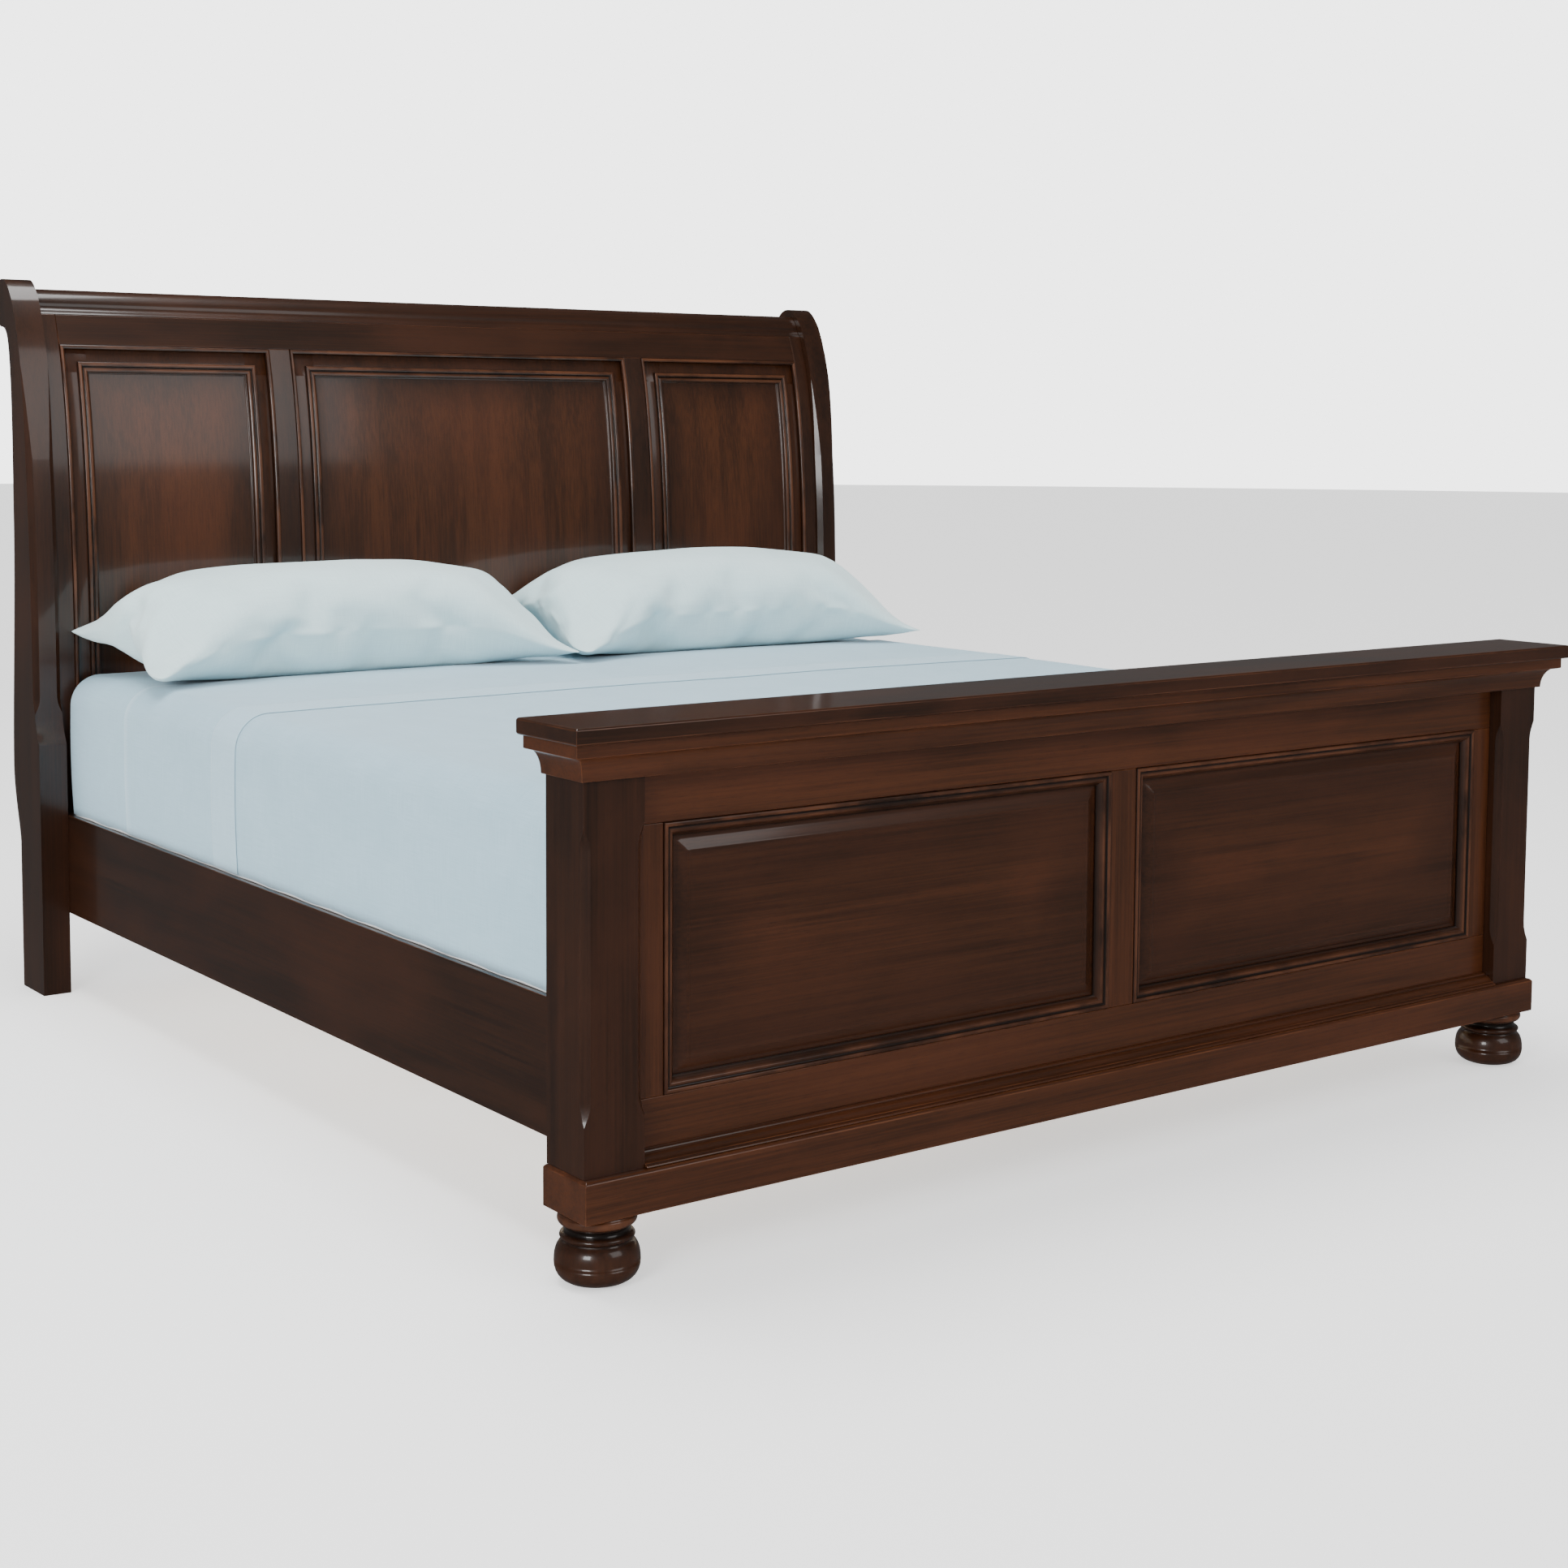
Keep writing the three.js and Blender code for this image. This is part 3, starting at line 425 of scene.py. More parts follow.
def grainGroup():
    # figure: slow cathedral bands; pores: short dark strokes; cloud: blotchy stain
    t, start, end = newGroup(
        "wood grain", [("Space", "NodeSocketVector", None)],
        [("Figure", "NodeSocketFloat"), ("Pores", "NodeSocketFloat"), ("Cloud", "NodeSocketFloat"),
         ("Height", "NodeSocketFloat")])
    space = start.outputs["Space"]
    figure = t.noise(t.stretch(space, (26, 26, 1.3)), 1.0, 4, 0.5, 0.6)
    streaks = t.noise(t.stretch(space, (260, 260, 3.2)), 1.0, 3, 0.55, 0.2)
    bands = t.maths("ADD", t.maths("MULTIPLY", figure, 0.45), t.maths("MULTIPLY", streaks, 0.55))
    pores = t.ramp(t.noise(t.stretch(space, (1300, 1300, 42)), 1.0, 2, 0.6), 0.56, 0.70)
    cloud = t.noise(t.stretch(space, (4.6, 4.6, 2.4)), 1.0, 3, 0.5, 0.4)
    height = t.maths("SUBTRACT", t.maths("MULTIPLY", bands, 0.5), t.maths("MULTIPLY", pores, 0.45))
    for name, value in (("Figure", bands), ("Pores", pores), ("Cloud", cloud), ("Height", height)):
        t.link(value, end.inputs[name])
    return t.tree


grain = grainGroup()


def finishGroup():
    # edges lightened for rubbing and as painted highlight, inner corners darkened for glazing and as painted
    # shade, over a stained colour
    t, start, end = newGroup(
        "rubbed highlights and glazed shade",
        [("Stain", "NodeSocketColor", None), ("Space", "NodeSocketVector", None),
         ("Rubbed", "NodeSocketColor", None), ("Glaze", "NodeSocketColor", None),
         ("Rub", "NodeSocketFloat", 0.6), ("Shade", "NodeSocketFloat", 0.6)],
        [("Color", "NodeSocketColor"), ("WornHighlight", "NodeSocketFloat")])
    patchy = t.ramp(t.noise(t.stretch(start.outputs["Space"], (11, 11, 6)), 1.0, 4, 0.65), 0.34, 0.62)
    # edge marks paint the lighter colour, as rubbing and as painted highlight
    wornHighlight = t.maths("MULTIPLY", t.attribute("wearHighlight").outputs["Fac"],
                   t.maths("MULTIPLY", patchy, start.outputs["Rub"]), clamp=True)
    # inner corner marks paint the dark colour, as glazing and as painted shade
    filledShade = t.maths("MULTIPLY", t.attribute("glazeShade").outputs["Fac"], 0.9, clamp=True)
    shaded = t.maths("MULTIPLY", t.attribute("edgeShade").outputs["Fac"], start.outputs["Shade"], clamp=True)
    color = t.mix(shaded, start.outputs["Stain"], start.outputs["Glaze"])
    color = t.mix(wornHighlight, color, start.outputs["Rubbed"])
    color = t.mix(filledShade, color, start.outputs["Glaze"])
    t.link(color, end.inputs["Color"])
    t.link(wornHighlight, end.inputs["WornHighlight"])
    return t.tree


highlightAndShadeFinish = finishGroup()


def newMaterial(name):
    material = bpy.data.materials.new(name)
    material.use_nodes = True
    material.node_tree.nodes.clear()
    t = Tree(material.node_tree)
    shader = t.add("ShaderNodeBsdfPrincipled")
    t.link(shader.outputs[0], t.add("ShaderNodeOutputMaterial").inputs[0])
    return material, t, shader


def woodMaterial(name, look):
    material, t, shader = newMaterial(name)
    space = t.attribute("boardSpace").outputs["Vector"]
    figure = t.add("ShaderNodeGroup", node_tree=grain)
    t.link(space, figure.inputs["Space"])
    tone = t.ramp(figure.outputs["Figure"], 0.35, 0.65)
    stain = t.mix(tone, look["dark"], look["light"])
    warm = t.ramp(figure.outputs["Cloud"], 0.38, 0.70, 0.0, look["blotch"])
    stain = t.mix(warm, stain, look["warm"])
    stain = t.mix(t.maths("MULTIPLY", figure.outputs["Pores"], look["pores"]), stain, look["glazeShade"])
    rubbedHighlight = t.add("ShaderNodeGroup", node_tree=highlightAndShadeFinish)
    t.link(stain, rubbedHighlight.inputs["Stain"])
    t.link(space, rubbedHighlight.inputs["Space"])
    t.setInputs(rubbedHighlight, Rubbed=look["rubbedHighlight"], Glaze=look["glazeShade"], Rub=look["rubHighlight"], Shade=look["shade"])
    t.link(rubbedHighlight.outputs["Color"], shader.inputs["Base Color"])
    gloss = t.maths("MULTIPLY_ADD", figure.outputs["Cloud"], look["glossVaries"], look["roughness"])
    t.link(t.maths("MULTIPLY_ADD", rubbedHighlight.outputs["WornHighlight"], 0.08, gloss), shader.inputs["Roughness"])
    t.setInputs(shader, Specular_IOR_Level=look["level"], Coat_Weight=look["lacquer"],
                Coat_Roughness=look["lacquerRoughness"])
    t.link(t.bump(figure.outputs["Height"], look["relief"], 0.0004), shader.inputs["Normal"])
    return material


# the rubbed colour lightens edges as wear and as painted highlight; the glaze colour darkens pores, panel
# edges and inner corners, the corners also as painted shade
espressoLook = {
    "dark": rgb(27, 14, 7), "light": rgb(42, 22, 11), "warm": rgb(62, 31, 13), "blotch": 0.4,
    "rubbedHighlight": rgb(98, 56, 31), "glazeShade": rgb(10, 6, 4), "pores": 0.4, "rubHighlight": 0.55, "shade": 0.5,
    "roughness": 0.26, "glossVaries": 0.12, "level": 0.3, "lacquer": 0.55,
    "lacquerRoughness": 0.1, "relief": 0.16,
}
cherryLook = {
    "dark": rgb(45, 23, 10), "light": rgb(65, 34, 15), "warm": rgb(82, 40, 17), "blotch": 0.3,
    "rubbedHighlight": rgb(112, 64, 34), "glazeShade": rgb(14, 8, 5), "pores": 0.4, "rubHighlight": 0.55, "shade": 0.42,
    "roughness": 0.26, "glossVaries": 0.12, "level": 0.3, "lacquer": 0.55,
    "lacquerRoughness": 0.1, "relief": 0.16,
}
pineLook = {
    "dark": rgb(176, 134, 84), "light": rgb(222, 190, 140), "warm": rgb(200, 150, 96), "blotch": 0.4,
    "rubbedHighlight": rgb(226, 198, 154), "glazeShade": rgb(120, 84, 48), "pores": 0.25, "rubHighlight": 0.4, "shade": 0.3,
    "roughness": 0.55, "glossVaries": 0.15, "level": 0.4, "lacquer": 0.0,
    "lacquerRoughness": 0.3, "relief": 0.35,
}
espresso = woodMaterial("espresso stain", espressoLook)
cherry = woodMaterial("burnished cherry", cherryLook)
pine = woodMaterial("bare pine", pineLook)


def weaveGroup():
    # plain weave from two crossed sets of threads, with slubs and slow creases
    t, start, end = newGroup(
        "plain weave",
        [("Space", "NodeSocketVector", None), ("Pitch", "NodeSocketFloat", 2400.0)],
        [("Tone", "NodeSocketFloat"), ("Thread", "NodeSocketFloat"), ("Crease", "NodeSocketFloat")])
    parts = t.add("ShaderNodeSeparateXYZ")
    t.link(start.outputs["Space"], parts.inputs[0])
    pitch = start.outputs["Pitch"]
    warp = t.maths("SINE", t.maths("MULTIPLY", parts.outputs["X"], pitch))
    weft = t.maths("SINE", t.maths("MULTIPLY", parts.outputs["Y"], pitch))
    thread = t.maths("MULTIPLY_ADD", t.maths("MULTIPLY", warp, weft), 0.5, 0.5)
    slubX = t.noise(t.stretch(start.outputs["Space"], (900, 14, 14)), 1.0, 2, 0.6)
    slubY = t.noise(t.stretch(start.outputs["Space"], (14, 900, 14)), 1.0, 2, 0.6)
    tone = t.maths("ADD", t.maths("MULTIPLY", slubX, 0.5), t.maths("MULTIPLY", slubY, 0.5))
    crease = t.noise(t.stretch(start.outputs["Space"], (9, 7, 9)), 1.0, 4, 0.55, 0.6)
    for name, value in (("Tone", tone), ("Thread", thread), ("Crease", crease)):
        t.link(value, end.inputs[name])
    return t.tree


weave = weaveGroup()


def clothMaterial(name, look):
    material, t, shader = newMaterial(name)
    coords = t.add("ShaderNodeUVMap", uv_map="cloth").outputs["UV"]
    woven = t.add("ShaderNodeGroup", node_tree=weave)
    t.link(coords, woven.inputs["Space"])
    woven.inputs["Pitch"].default_value = look["pitch"]
    color = t.mix(t.ramp(woven.outputs["Tone"], 0.38, 0.62), look["low"], look["high"])
    color = t.mix(t.ramp(woven.outputs["Crease"], 0.35, 0.7, 0.0, look["mottle"]), color, look["deep"])
    # hem marks take the hem colour: on the sheet a painted highlight along the fold and hem lines, on the
    # ticking its edges
    color = t.mix(t.maths("MULTIPLY", t.attribute("hem").outputs["Fac"], 0.5), color, look["hem"])
    # inner corner marks darken towards the deep colour, as glazing and as painted shade
    color = t.mix(t.maths("MULTIPLY", t.attribute("glazeShade").outputs["Fac"], 0.6), color, look["deep"])
    t.link(color, shader.inputs["Base Color"])
    t.link(t.ramp(woven.outputs["Thread"], 0.0, 1.0, 0.92, 0.8), shader.inputs["Roughness"])
    t.setInputs(shader, Sheen_Weight=look["sheen"], Sheen_Roughness=0.45)
    soft = t.bump(woven.outputs["Crease"], look["creaseRelief"], 0.004)
    t.link(t.bump(woven.outputs["Thread"], look["threadRelief"], 0.0002, soft), shader.inputs["Normal"])
    return material


# hem: the lighter colour painted as a highlight along the sheet's fold and hem lines
sheetLook = {
    "low": rgb(150, 183, 199), "high": rgb(162, 194, 209), "deep": rgb(140, 173, 190), "mottle": 0.25,
    "hem": rgb(188, 213, 224), "pitch": 5200.0, "sheen": 0.25, "creaseRelief": 0.16, "threadRelief": 0.25,
}
pillowLook = {
    "low": rgb(194, 219, 222), "high": rgb(206, 229, 231), "deep": rgb(182, 208, 212), "mottle": 0.25,
    "hem": rgb(216, 234, 236), "pitch": 5200.0, "sheen": 0.25, "creaseRelief": 0.14, "threadRelief": 0.25,
}
tickingLook = {
    "low": rgb(222, 221, 214), "high": rgb(238, 237, 232), "deep": rgb(206, 204, 196), "mottle": 0.3,
    "hem": rgb(190, 194, 200), "pitch": 2600.0, "sheen": 0.2, "creaseRelief": 0.4, "threadRelief": 0.5,
}
sheetCotton = clothMaterial("ice blue cotton", sheetLook)
pillowCotton = clothMaterial("pale mist cotton", pillowLook)
ticking = clothMaterial("mattress ticking", tickingLook)


def steelMaterial():
    material, t, shader = newMaterial("brushed zinc steel")
    coords = t.add("ShaderNodeTexCoord").outputs["Object"]
    brushed = t.noise(t.stretch(coords, (900, 900, 30)), 1.0, 3, 0.6)
    cloud = t.noise(coords, 40.0, 3)
    color = t.mix(t.ramp(cloud, 0.35, 0.65), rgb(128, 130, 134), rgb(176, 178, 182))
    t.link(color, shader.inputs["Base Color"])
    shader.inputs["Metallic"].default_value = 0.95
    t.link(t.ramp(brushed, 0.3, 0.7, 0.3, 0.5), shader.inputs["Roughness"])
    t.link(t.bump(brushed, 0.15, 0.0002), shader.inputs["Normal"])
    return material


def nylonMaterial():
    material, t, shader = newMaterial("moulded nylon")
    coords = t.add("ShaderNodeTexCoord").outputs["Object"]
    pebble = t.noise(coords, 1400.0, 2)
    cloud = t.noise(coords, 60.0, 3)
    t.link(t.mix(t.ramp(cloud, 0.3, 0.7), rgb(24, 24, 26), rgb(40, 40, 43)), shader.inputs["Base Color"])
    t.link(t.ramp(pebble, 0.3, 0.7, 0.42, 0.6), shader.inputs["Roughness"])
    t.link(t.bump(pebble, 0.2, 0.0002), shader.inputs["Normal"])
    return material


steel = steelMaterial()
nylon = nylonMaterial()
print("materials ready")

headboard = {
    # outlines as (inset, depth, wear, glaze); wear also paints a highlight, glaze also paints shade
    "bead": [(0.3, 7.6, 0, 1), (0.3, -1.2, 0, 0.3), (2.2, -2.7, 0.9, 0), (6.0, -2.8, 1, 0),
             (8.9, -0.4, 0.5, 0), (8.9, 7.6, 0, 1)],
    "moulding": [(36.1, 7.7, 0, 1), (36.1, 2.0, 0, 0.8), (37.6, 0.2, 0.9, 0), (42.0, -0.1, 1, 0),
                 (44.6, 1.2, 0.5, 0), (46.2, 4.4, 0, 1), (47.6, 4.4, 0, 0.9), (49.2, 2.4, 0.5, 0),
                 (53.0, 1.9, 1, 0), (56.4, 4.2, 0.6, 0), (57.8, 7.7, 0, 1)],
    "moulded": 1.2,
    "levelStep": 22,
    "panelProfile": [(0, 8), (57.6, 8), (58.2, 13.6), (62, 14)],
    "panelBack": 24,
    "panelFade": 90,
    "panelStep": 26,
}


def inMetres(section, radius):
    return [(x * mm, y * mm, w, g) for x, y, w, g in roundedSection(section, radius)]


headLevels = spread(0.4, 1.45, headboard["levelStep"] * mm)
for side in ("left", "right"):
    board("headboard_post_" + side, "z", espresso, 1.6 * mm, 0)
    board("headboard_stile_" + side, "z", espresso)
    board("headboard_muntin_" + side, "z", espresso)
for node in ("headboard_crest", "headboard_top_rail", "headboard_bottom_rail"):
    board(node, "x", espresso)
for side in ("left", "centre", "right"):
    for part in ("bead", "moulding"):
        section = inMetres(headboard[part], headboard["moulded"])
        mitredFrame(f"headboard_{part}_{side}", section, sweptFront, headLevels, espresso)
    panelBoard("headboard_panel_" + side, [(i * mm, d * mm) for i, d in headboard["panelProfile"]],
               headboard["panelBack"] * mm, headboard["panelFade"] * mm, sweptFront,
               headboard["panelStep"] * mm, "z", cherry)
print("headboard done")

footboard = {
    "moulding": [(0.3, 13.5, 0, 1), (0.3, -0.6, 0, 0.6), (1.6, -2.6, 0.7, 0), (4.2, -3.1, 1, 0),
                 (6.6, -2.6, 0.9, 0), (8.0, -0.2, 0, 0.9), (9.6, 0.8, 0, 0.8), (12.0, 0.2, 0.5, 0),
                 (14.4, 0.6, 0.9, 0),
                 (17.6, 3.4, 0.4, 0), (20.6, 8.2, 0.2, 0.3), (23.6, 10.4, 0, 0.7), (23.8, 13.5, 0, 1)],
    "moulded": 0.9,
    "panelProfile": [(0, 14), (26.7, 14), (31, 12.4), (37, 9.6), (43.2, 7.2), (44.6, 5.9), (48, 5.8),
                     (50, 7), (56, 7)],
    "panelBack": 26,
    "panelFade": 210,
    "panelStep": 34,
}
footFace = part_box("footboard_muntin")[0].y


def footFront(z):
    return footFace


for side in ("left", "right"):
    board("footboard_post_" + side, "z", espresso, 1.8 * mm, 0.5 * mm)
    board("footboard_stile_" + side, "z", cherry)
    mitredFrame("footboard_moulding_" + side, inMetres(footboard["moulding"], footboard["moulded"]),
                footFront, [], espresso)
    panelBoard("footboard_panel_" + side, [(i * mm, d * mm) for i, d in footboard["panelProfile"]],
               footboard["panelBack"] * mm, footboard["panelFade"] * mm, footFront,
               footboard["panelStep"] * mm, "x", cherry)
board("footboard_muntin", "z", cherry)
for node in ("footboard_top_rail", "footboard_bottom_rail", "footboard_base_moulding", "footboard_plinth",
             "footboard_cornice"):
    board(node, "x", cherry)
board("footboard_cap", "x", espresso, 1.0 * mm)

bunFoot = {
    # quarter curves as (start, two handles, end), each a (share of the radius, height)
    "curves": [((0.5, 0), (0.86, 1.5), (1.0, 14), (1.0, 30)), ((1.0, 30), (1.0, 46), (0.94, 56), (0.8, 61)),
               ((0.8, 61), (0.795, 61.6), (0.795, 62.4), (0.8, 63)),
               ((0.8, 63), (0.9, 64.5), (0.9, 70.5), (0.8, 72)),
               ((0.8, 72), (0.72, 75.5), (0.72, 79.5), (0.8, 83)),
               ((0.8, 83), (0.92, 86), (0.955, 92), (0.9, 98)),
               ((0.9, 98), (0.895, 99), (0.885, 100), (0.875, 100.7))],
    "glazedShade": (0.815, 0.5),
    "wornHighlight": 0.93,
}


def bunProfile(radius):
    profile = [(0.0, 0.0, 0.0, 0.0)]
    for a, b, c, d in bunFoot["curves"]:
        points = interpolate_bezier(*[Vector((p[0], p[1] / 100, 0)) for p in (a, b, c, d)], 8)
        for p in points:
            # the groove is darkened as glazing and painted shade, the widest bulge lightened as rubbing and
            # painted highlight
            filledShade = 1 - smoothstep(0.78, bunFoot["glazedShade"][0], p.x) if p.y > 0.55 else 0.0
            rubbedHighlight = smoothstep(0.86, bunFoot["wornHighlight"], p.x) if p.y > 0.8 else 0.25 * smoothstep(0.9, 1.0, p.x)
            profile.append((p.x * radius, p.y * 0.1, rubbedHighlight, filledShade))
    return profile + [(0.0, profile[-1][1], 0.0, 0.0)]


for side in ("left", "right"):
    low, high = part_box("bun_foot_" + side)
    middle = (low + high) / 2
    turning(f"bun_foot_{side}_turned", bunProfile((high.x - low.x) / 2), middle, espresso,
            "bedstead", ["bun_foot_" + side])
print("footboard done")

for side in ("left", "right"):
    board("side_rail_" + side, "y", espresso, 2.0 * mm, 0.5 * mm)
    board("slat_cleat_" + side, "y", pine, 1.2 * mm, 0)
slatNodes = sorted(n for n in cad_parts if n.startswith("slat_") and n[-1].isdigit())
for node in slatNodes:
    board(node, "x", pine, 1.2 * mm, 0)
for node in sorted(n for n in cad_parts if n.startswith("centre_leg_")):
    board(node, "z", pine, 1.2 * mm, 0)
levelling = {"disc": 7, "dish": 1.2, "collar": 9, "thread": 1.5, "threadDeep": 0.5}
for number in ("1", "2", "3"):
    node = "levelling_foot_" + number
    low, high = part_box(node)
    wide = (high.x - low.x) / 2
    stem, disc = 5 * mm, levelling["disc"] * mm
    profile = [(0, levelling["dish"] * mm, 0, 0), (wide - 3 * mm, levelling["dish"] * mm, 0, 0),
               (wide - 2.4 * mm, 0, 0, 0), (wide - 0.8 * mm, 0, 0, 0), (wide, 0.8 * mm, 0, 0),
               (wide, disc - 2 * mm, 0, 0), (wide - 1.5 * mm, disc - mm, 0, 0),
               (levelling["collar"] * mm, disc, 0, 0), (stem, disc, 0, 0)]
    height, out = disc, False
    while height + levelling["thread"] * mm < high.z:
        height += levelling["thread"] * mm / 2
        out = not out
        profile.append((stem - (0 if out else levelling["threadDeep"] * mm), height, 0, 0))
    profile.append((0, high.z, 0, 0))
    turning(node + "_turned", profile, (low + high) / 2, nylon, "leveller_" + number,
            [node], 32)
for node in sorted(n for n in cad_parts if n.startswith("hook_plate_")):
    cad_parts[node].data.materials.clear()
    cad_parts[node].data.materials.append(steel)
print("rails and slats done")


def setDown(name, points, shape, turnedTo, material, body):
    # every point carries the direction that the shape's long side takes
    carrier = bpy.data.meshes.new(name + " points")
    carrier.from_pydata([p for p, _ in points], [], [])
    heading = carrier.attributes.new("heading", "FLOAT_VECTOR", "POINT")
    heading.data.foreach_set("vector", [c for _, d in points for c in d])
    holder = bpy.data.objects.new(name + " points", carrier)
    scene.collection.objects.link(holder)
    tree = bpy.data.node_groups.new(name + " nodes", "GeometryNodeTree")
    face = tree.interface
    face.new_socket("Points", in_out="INPUT", socket_type="NodeSocketGeometry")
    face.new_socket("Shape", in_out="INPUT", socket_type="NodeSocketObject")
    sizeSocket = face.new_socket("Size", in_out="INPUT", socket_type="NodeSocketFloat")
    spinSocket = face.new_socket("Random spin", in_out="INPUT", socket_type="NodeSocketFloat")
    seedSocket = face.new_socket("Seed", in_out="INPUT", socket_type="NodeSocketInt")
    face.new_socket("Mesh", in_out="OUTPUT", socket_type="NodeSocketGeometry")
    t = Tree(tree)
    start, end = t.add("NodeGroupInput"), t.add("NodeGroupOutput")
    stored = t.add("GeometryNodeInputNamedAttribute", data_type="FLOAT_VECTOR")
    stored.inputs["Name"].default_value = "heading"
    align = t.add("FunctionNodeAlignRotationToVector", axis=turnedTo)
    chance = t.add("FunctionNodeRandomValue", data_type="FLOAT")
    spin = t.add("FunctionNodeRotateRotation", rotation_space="LOCAL")
    turn = t.add("FunctionNodeAxisAngleToRotation")
    turn.inputs["Axis"].default_value = (1, 0, 0) if turnedTo == "X" else (0, 0, 1)
    info = t.add("GeometryNodeObjectInfo")
    place = t.add("GeometryNodeInstanceOnPoints")
    whole = t.add("GeometryNodeRealizeInstances")
    dressed = t.add("GeometryNodeSetMaterial")
    dressed.inputs["Material"].default_value = material
    for source, output, target, feed in (
            (stored, "Attribute", align, "Vector"), (start, "Random spin", chance, 3),
            (start, "Seed", chance, "Seed"),
            (chance, 1, turn, "Angle"), (align, "Rotation", spin, "Rotation"),
            (turn, "Rotation", spin, "Rotate By"), (start, "Shape", info, "Object"),
            (start, "Points", place, "Points"), (info, "Geometry", place, "Instance"),
            (spin, "Rotation", place, "Rotation"), (start, "Size", place, "Scale"),
            (place, "Instances", whole, "Geometry"), (whole, "Geometry", dressed, "Geometry"),
            (dressed, "Geometry", end, "Mesh")):
        t.link(source.outputs[output], target.inputs[feed])
    template = bpy.data.objects.new(name + " shape", shape)
    scene.collection.objects.link(template)
    modifier = holder.modifiers.new("set down", "NODES")
    modifier.node_group = tree
    shapeSocket = next(s for s in face.items_tree if s.name == "Shape")
    modifier[shapeSocket.identifier] = template
    modifier[sizeSocket.identifier] = 1.0
    modifier[spinSocket.identifier] = 2 * math.pi if turnedTo == "Z" else 0.0
    modifier[seedSocket.identifier] = 7
    bpy.context.view_layer.update()
    made = bpy.data.meshes.new_from_object(holder.evaluated_get(bpy.context.evaluated_depsgraph_get()))
    for spare in (holder, template):
        bpy.data.objects.remove(spare)
    for attribute in [a for a in made.attributes if a.name == "heading"]:
        made.attributes.remove(attribute)
    made.name = name
    return showPiece(name, made, material, body)


screws = {"sides": 16, "head": 4.2, "rise": 1.3, "slot": 1.0, "slotDeep": 0.7, "inset": 14, "apart": 46}


def screwShape():
    # a pan head with a crossed recess
    bm = bmesh.new()
    head = screws["head"] * mm
    sides = screws["sides"]
    rings = [(head, 0), (head * 0.92, screws["rise"] * 0.55 * mm), (head * 0.6, screws["rise"] * mm)]
    verts = [[bm.verts.new((r * math.cos(2 * math.pi * i / sides), r * math.sin(2 * math.pi * i / sides), z))
              for i in range(sides)] for r, z in rings]
    for low, high in zip(verts, verts[1:]):
        for i in range(sides):
            bm.faces.new((low[i], low[(i + 1) % sides], high[(i + 1) % sides], high[i])).smooth = True
    bm.faces.new(list(reversed(verts[0])))
    arm, half = head * 0.42, screws["slot"] * mm / 2
    cross = [(arm, -half), (arm, half), (half, half), (half, arm), (-half, arm), (-half, half), (-arm, half),
             (-arm, -half), (-half, -half), (-half, -arm), (half, -arm), (half, -half)]
    top, floor = screws["rise"] * mm, (screws["rise"] - screws["slotDeep"]) * mm
    edge = [bm.verts.new((x, y, top)) for x, y in cross]
    deep = [bm.verts.new((x * 0.8, y * 0.8, floor)) for x, y in cross]
    for i in range(12):
        bm.faces.new((edge[i], edge[(i + 1) % 12], deep[(i + 1) % 12], deep[i]))
    bm.faces.new(list(reversed(deep)))
    rimEdges = [e for e in bm.edges if e.is_boundary]
    bmesh.ops.triangle_fill(bm, use_beauty=True, edges=rimEdges)
    return newMesh(bm, "screw", True)


screwPoints = []
for node in slatNodes:
    low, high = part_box(node)
    for x in (low.x + screws["inset"] * mm, high.x - screws["inset"] * mm):
        for step in (-0.5, 0.5):
            y = (low.y + high.y) / 2 + step * screws["apart"] * mm
            screwPoints.append(((x, y, high.z - 1.2 * mm), (0, 0, 1)))
setDown("slat_screws", screwPoints, screwShape(), "Z", steel, "bedstead")
print("screws done")

mattressLow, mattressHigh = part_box("mattress")
bedding = {
    "corner": 58,  # radius of the dressed mattress's edges
    "headCorner": 24,
    "bulge": 3.5,
    "crown": 5,
    "fittedLift": 1.2,
    "flatLift": 3.0,
    "cuffLift": 6.2,
    "clothThick": 0.9,
    "tuck": 14,
    "ripple": 1.0,
}
mattressSides = {"left": mattressLow.x + 5 * mm, "right": mattressHigh.x - 5 * mm}


def dressedSurface(x, y, z, lift, tuck=0.0):
    # a point of the plain slab's outside, moved onto the rounded and plumped mattress
    r = bedding["corner"] * mm
    low = Vector((mattressSides["left"], mattressLow.y, mattressLow.z))
    high = Vector((mattressSides["right"], mattressHigh.y, mattressHigh.z))
    atHead = bedding["headCorner"] / bedding["corner"] if y > 0 else 1.0
    headY = high.y - r * atHead
    core = Vector((min(max(x, low.x + r), high.x - r), min(max(y, low.y + r), headY), min(z, high.z - r)))
    out = Vector((x, y, z)) - core
    out.y /= atHead
    normal = out.normalized() if out.length > 1e-6 else Vector((0, 0, 1))
    half = (high - low) / 2
    middle = (high + low) / 2
    overX, overY = (x - middle.x) / half.x, (y - middle.y) / half.y
    upright = math.sin(math.pi * min(max((z - low.z) / (high.z - low.z), 0), 1))
    sideways = 1 - abs(normal.z)
    swell = bedding["bulge"] * mm * upright * sideways
    swell += bedding["crown"] * mm * (1 - overX ** 2) * (1 - overY ** 2) * max(normal.z, 0)
    soft = noise.noise(Vector((x * 2.3, y * 2.1, z * 2.7))) * 1.6
    soft += noise.noise(Vector((x * 7, y * 5, z * 8))) * 0.6
    swell += bedding["ripple"] * mm * soft * smoothstep(0, 0.06, z - low.z)
    place = core + normal * (swell + lift) + Vector((normal.x, normal.y * atHead, normal.z)) * r
    if tuck:
        place = place - Vector((normal.x, normal.y, 0)) * tuck - Vector((0, 0, 0.6 * mm))
    return place


